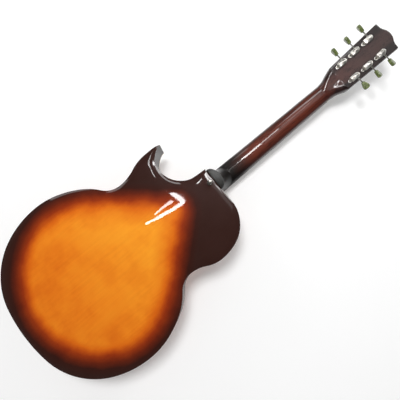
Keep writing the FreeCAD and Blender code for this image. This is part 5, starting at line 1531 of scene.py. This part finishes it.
@dataclass
class Fasteners(Assembly):
    """Strap buttons and the cross-slotted wood screws.

    The screw's head has unit radius. Its dome has rings at the given radii over a shank and a rim.
    """

    facets: int = 24
    shank: tuple = ((0.0, -1.6), (0.42, -1.5), (0.42, -0.05), (1.0, -0.02), (1.0, 0.12))
    dome: tuple = (0.94, 0.8, 0.64, 0.56, 0.42, 0.3, 0.2, 0.12, 0.0)
    dome_high: float = 0.46
    dome_foot: float = 0.1
    slot_half: float = 0.16
    slot_long: float = 0.62
    slot_deep: float = 0.32
    strap_screw: float = 2.6 * MM
    strap_sunk: float = 0.2 * MM

    def screw(self) -> BMesh:
        """Makes one domed screw with a cross slot.

        Returns:
            A new mesh that the caller frees.
        """
        rings = tuple((radius, self.dome_high * (1 - radius ** 2) + self.dome_foot) for radius in self.dome)
        mesh = lathed(self.shank + rings, self.facets)
        for vertex in mesh.verts:
            across, along = sorted((abs(vertex.co.x), abs(vertex.co.y)))
            if vertex.co.z > self.shank[-1][1] and across < self.slot_half and along < self.slot_long:
                vertex.co.z -= self.slot_deep
        return mesh

    def spots(self) -> list:
        """Finds where the CAD has wood screws, and the screws of the strap buttons.

        Returns:
            Rows of a place, an axis and three scales.
        """
        spots = []
        for node, rim in (("wood_screws", 0.98), ("strap_buttons", 0.9)):
            for part in islands(node):
                middle = part.mean(0)
                axis = np.linalg.svd(part - middle, full_matrices=False)[2][0]
                rise = (part - middle) @ axis
                reach = np.linalg.norm(part - middle - rise[:, None] * axis, axis=1)
                head = reach > rim * reach.max()
                if rise[head].mean() < (rise.min() + rise.max()) / 2:
                    axis, rise = -axis, -rise
                level, size = rise[head].min(), reach.max()
                if node == "strap_buttons":
                    level, size = rise.max() - self.strap_sunk, self.strap_screw
                spots.append((middle + axis * level, axis, (size,) * 3))
        return spots

    def build(self) -> None:
        """Sets a screw at each place where the CAD has one."""
        self.dress("strap_buttons", NICKEL)
        piece = self.planted("wood_screws_finished", self.screw(), self.spots(), NICKEL)
        self.settle(piece, NICKEL, "wood_screws")


@dataclass(frozen=True)
class Lamp:
    """A soft rectangular lamp that stays out of the picture.

    level is its brightness, where white paper in full light has 1, and upright the direction of its
    height. mirrored says whether gloss and metal show it, and lighting whether it lights matt surfaces.
    """

    name: str
    place: tuple | Vector
    wide: float
    tall: float
    level: float
    aim: tuple = (0.0, 0.0, 0.45)
    upright: tuple | Vector = (0, 0, 1)
    mirrored: bool = True
    lighting: bool = True

    def hang(self) -> None:
        """Adds the lamp to the scene."""
        data = bpy.data.lights.new(self.name, "AREA")
        data.shape = "RECTANGLE"
        data.size = self.wide
        data.size_y = self.tall
        data.energy = self.level * math.pi * self.wide * self.tall
        lamp = linked(self.name, data)
        back = (Vector(self.place) - Vector(self.aim)).normalized()
        side = Vector(self.upright).cross(back).normalized()
        axes = Matrix((side, back.cross(side), back)).transposed()
        lamp.matrix_world = Matrix.Translation(self.place) @ axes.to_4x4()
        lamp.visible_camera = False
        lamp.visible_glossy = self.mirrored
        lamp.visible_diffuse = self.lighting


@dataclass
class Studio:
    """The pale sheet behind the guitar, soft lights, and the camera."""

    place: tuple = (-0.113323, 0.958461, 0.438107)
    right: tuple = (-0.63999, -0.03441, 0.76761)
    down: tuple = (-0.76101, -0.10966, -0.6394)
    ahead: tuple = (0.10618, -0.99337, 0.044)
    lens: float = 37.894
    sensor: float = 36.0
    near: float = 0.01
    sheet_gap: float = 4 * MM
    sheet_half: float = 3.0
    sheet_glow: float = 0.17
    room_light: float = 0.33
    # What gloss shows of the room, from the front of the guitar to its back.
    room_stops: tuple = ((0.0, "#9a9a9a"), (0.3, "#b0b0b0"), (0.46, "#707070"), (0.62, "#505050"),
                         (1.0, "#484848"))
    lamps: tuple = (
        Lamp("key", (0.5, 2.6, 0.7), wide=0.6, tall=0.6, level=38.5, mirrored=False),
        Lamp("side_edge", (1.9, 0.9, 0.5), wide=0.5, tall=0.9, level=2.5),
        Lamp("top_edge", (0.2, 1.0, 2.1), wide=0.5, tall=0.3, level=8.0),
        Lamp("head_panel", (0.06, 0.6, 0.93), wide=0.36, tall=0.3, level=0.7, aim=(0.0, 0.0, 0.98)))
    front: Lamp = Lamp("front", (0.9, -1.6, 1.2), wide=1.0, tall=1.0, level=7.0)
    # Narrow lamps that only gloss shows, by their ends, width and brightness: those that the back
    # mirrors, then those of the neck and of the edges.
    strips: tuple = (
        ((0.556, 1.5, 0.768), (0.405, 1.5, 0.75), 0.03, 24),
        ((0.405, 1.5, 0.75), (0.376, 1.5, 0.63), 0.045, 24),
        ((0.376, 1.5, 0.63), (0.355, 1.5, 0.45), 0.05, 24),
        ((0.355, 1.5, 0.45), (0.371, 1.5, 0.33), 0.04, 24),
        ((0.488, 1.5, 0.71), (0.432, 1.5, 0.47), 0.03, 19),
        ((0.098, 0.37, 0.66), (0.105, 0.37, 0.74), 0.085, 20),
        ((0.112, 0.37, 0.735), (0.112, 0.37, 0.82), 0.05, 11),
        ((0.1, 0.37, 0.82), (0.095, 0.37, 0.96), 0.02, 5),
        ((0.1, 0.85, 1.48), (0.47, 0.9, 1.37), 0.25, 9),
        ((0.47, 0.9, 1.37), (0.86, 0.88, 1.06), 0.25, 5))

    def camera(self) -> None:
        """Sets the camera at the photograph's viewpoint."""
        data = bpy.data.cameras.new("viewpoint")
        data.lens = self.lens
        data.sensor_width = self.sensor
        data.sensor_fit = "HORIZONTAL"
        data.clip_start = self.near
        eye = linked("viewpoint", data)
        axes = Matrix((self.right, -Vector(self.down), -Vector(self.ahead))).transposed()
        eye.matrix_world = Matrix.Translation(self.place) @ axes.to_4x4()
        bpy.context.scene.camera = eye

    def sheet(self) -> None:
        """Lays the pale sheet just beyond the face, seen from the back's side only."""
        level = CAD_BOX[0][1] - self.sheet_gap
        half = self.sheet_half
        corners = [(-half, level, -half), (half, level, -half), (half, level, half), (-half, level, half)]
        sheet = drawn("pale_sheet", corners, [], [(3, 2, 1, 0)])
        sheet.visible_shadow = False
        paper = bpy.data.materials.new("white_paper")
        bench = cleared(paper)
        matt = bench.out("ShaderNodeBsdfDiffuse", {"Color": linear("#f2f2f2")})
        glow = bench.out("ShaderNodeEmission", {"Color": linear("#ffffff"), "Strength": self.sheet_glow})
        rear = bench.out("ShaderNodeNewGeometry", output="Backfacing")
        shown = bench.out("ShaderNodeMixShader", {
            0: rear, 1: bench.out("ShaderNodeAddShader", {0: matt, 1: glow}),
            2: bench.out("ShaderNodeBsdfTransparent")})
        bench.add("ShaderNodeOutputMaterial", {"Surface": shown})
        sheet.data.materials.append(paper)

    def surroundings(self) -> None:
        """Lights the room softly and shows it white behind the guitar."""
        world = bpy.data.worlds.new("room")
        bpy.context.scene.world = world
        bench = cleared(world)
        rays = bench.add("ShaderNodeLightPath").outputs
        axes = bench.add("ShaderNodeSeparateXYZ", {
            "Vector": bench.out("ShaderNodeTexCoord", output="Generated")}).outputs
        room = bench.ramp(bench.ranged(axes["Y"], 0.0, 1.0, -1.0), self.room_stops)
        white = linear("#ffffff")
        soft, mirrored, seen = (bench.out("ShaderNodeBackground", {"Color": colour, "Strength": strength})
                                for colour, strength in ((white, self.room_light), (room, 1.0), (white, 1.0)))
        clear = bench.joined("MAXIMUM", rays["Is Glossy Ray"], rays["Is Transmission Ray"])
        lit = bench.out("ShaderNodeMixShader", {0: clear, 1: soft, 2: mirrored})
        both = bench.out("ShaderNodeMixShader", {0: rays["Is Camera Ray"], 1: lit, 2: seen})
        bench.add("ShaderNodeOutputWorld", {"Surface": both})

    def build(self) -> None:
        """Sets up the camera, the sheet, the room and the lamps."""
        bpy.context.scene.view_settings.view_transform = "Standard"
        self.camera()
        self.sheet()
        self.surroundings()
        lamps = list(self.lamps)
        for number, (low, high, wide, level) in enumerate(self.strips, 1):
            run = Vector(high) - Vector(low)
            lamps.append(Lamp(f"strip_{number}", Vector(low) + run / 2, wide, run.length, level, upright=run,
                              lighting=False))
        for lamp in lamps + [self.front]:
            lamp.hang()


def main() -> None:
    """Builds the guitar's sub-assemblies and the studio, and reports each piece."""
    logging.basicConfig(level=logging.INFO, format="%(name)s: %(message)s")
    Studio().build()
    for assembly in (Body(), Neck(), Tuners(), StringSet(), Bridge(), Electrics(), Fasteners()):
        assembly.build()
        for piece in assembly.pieces:
            LOG.info("%s: %s with %d faces", type(assembly).__name__, piece.name, len(piece.data.polygons))


if __name__ == "__main__":
    main()
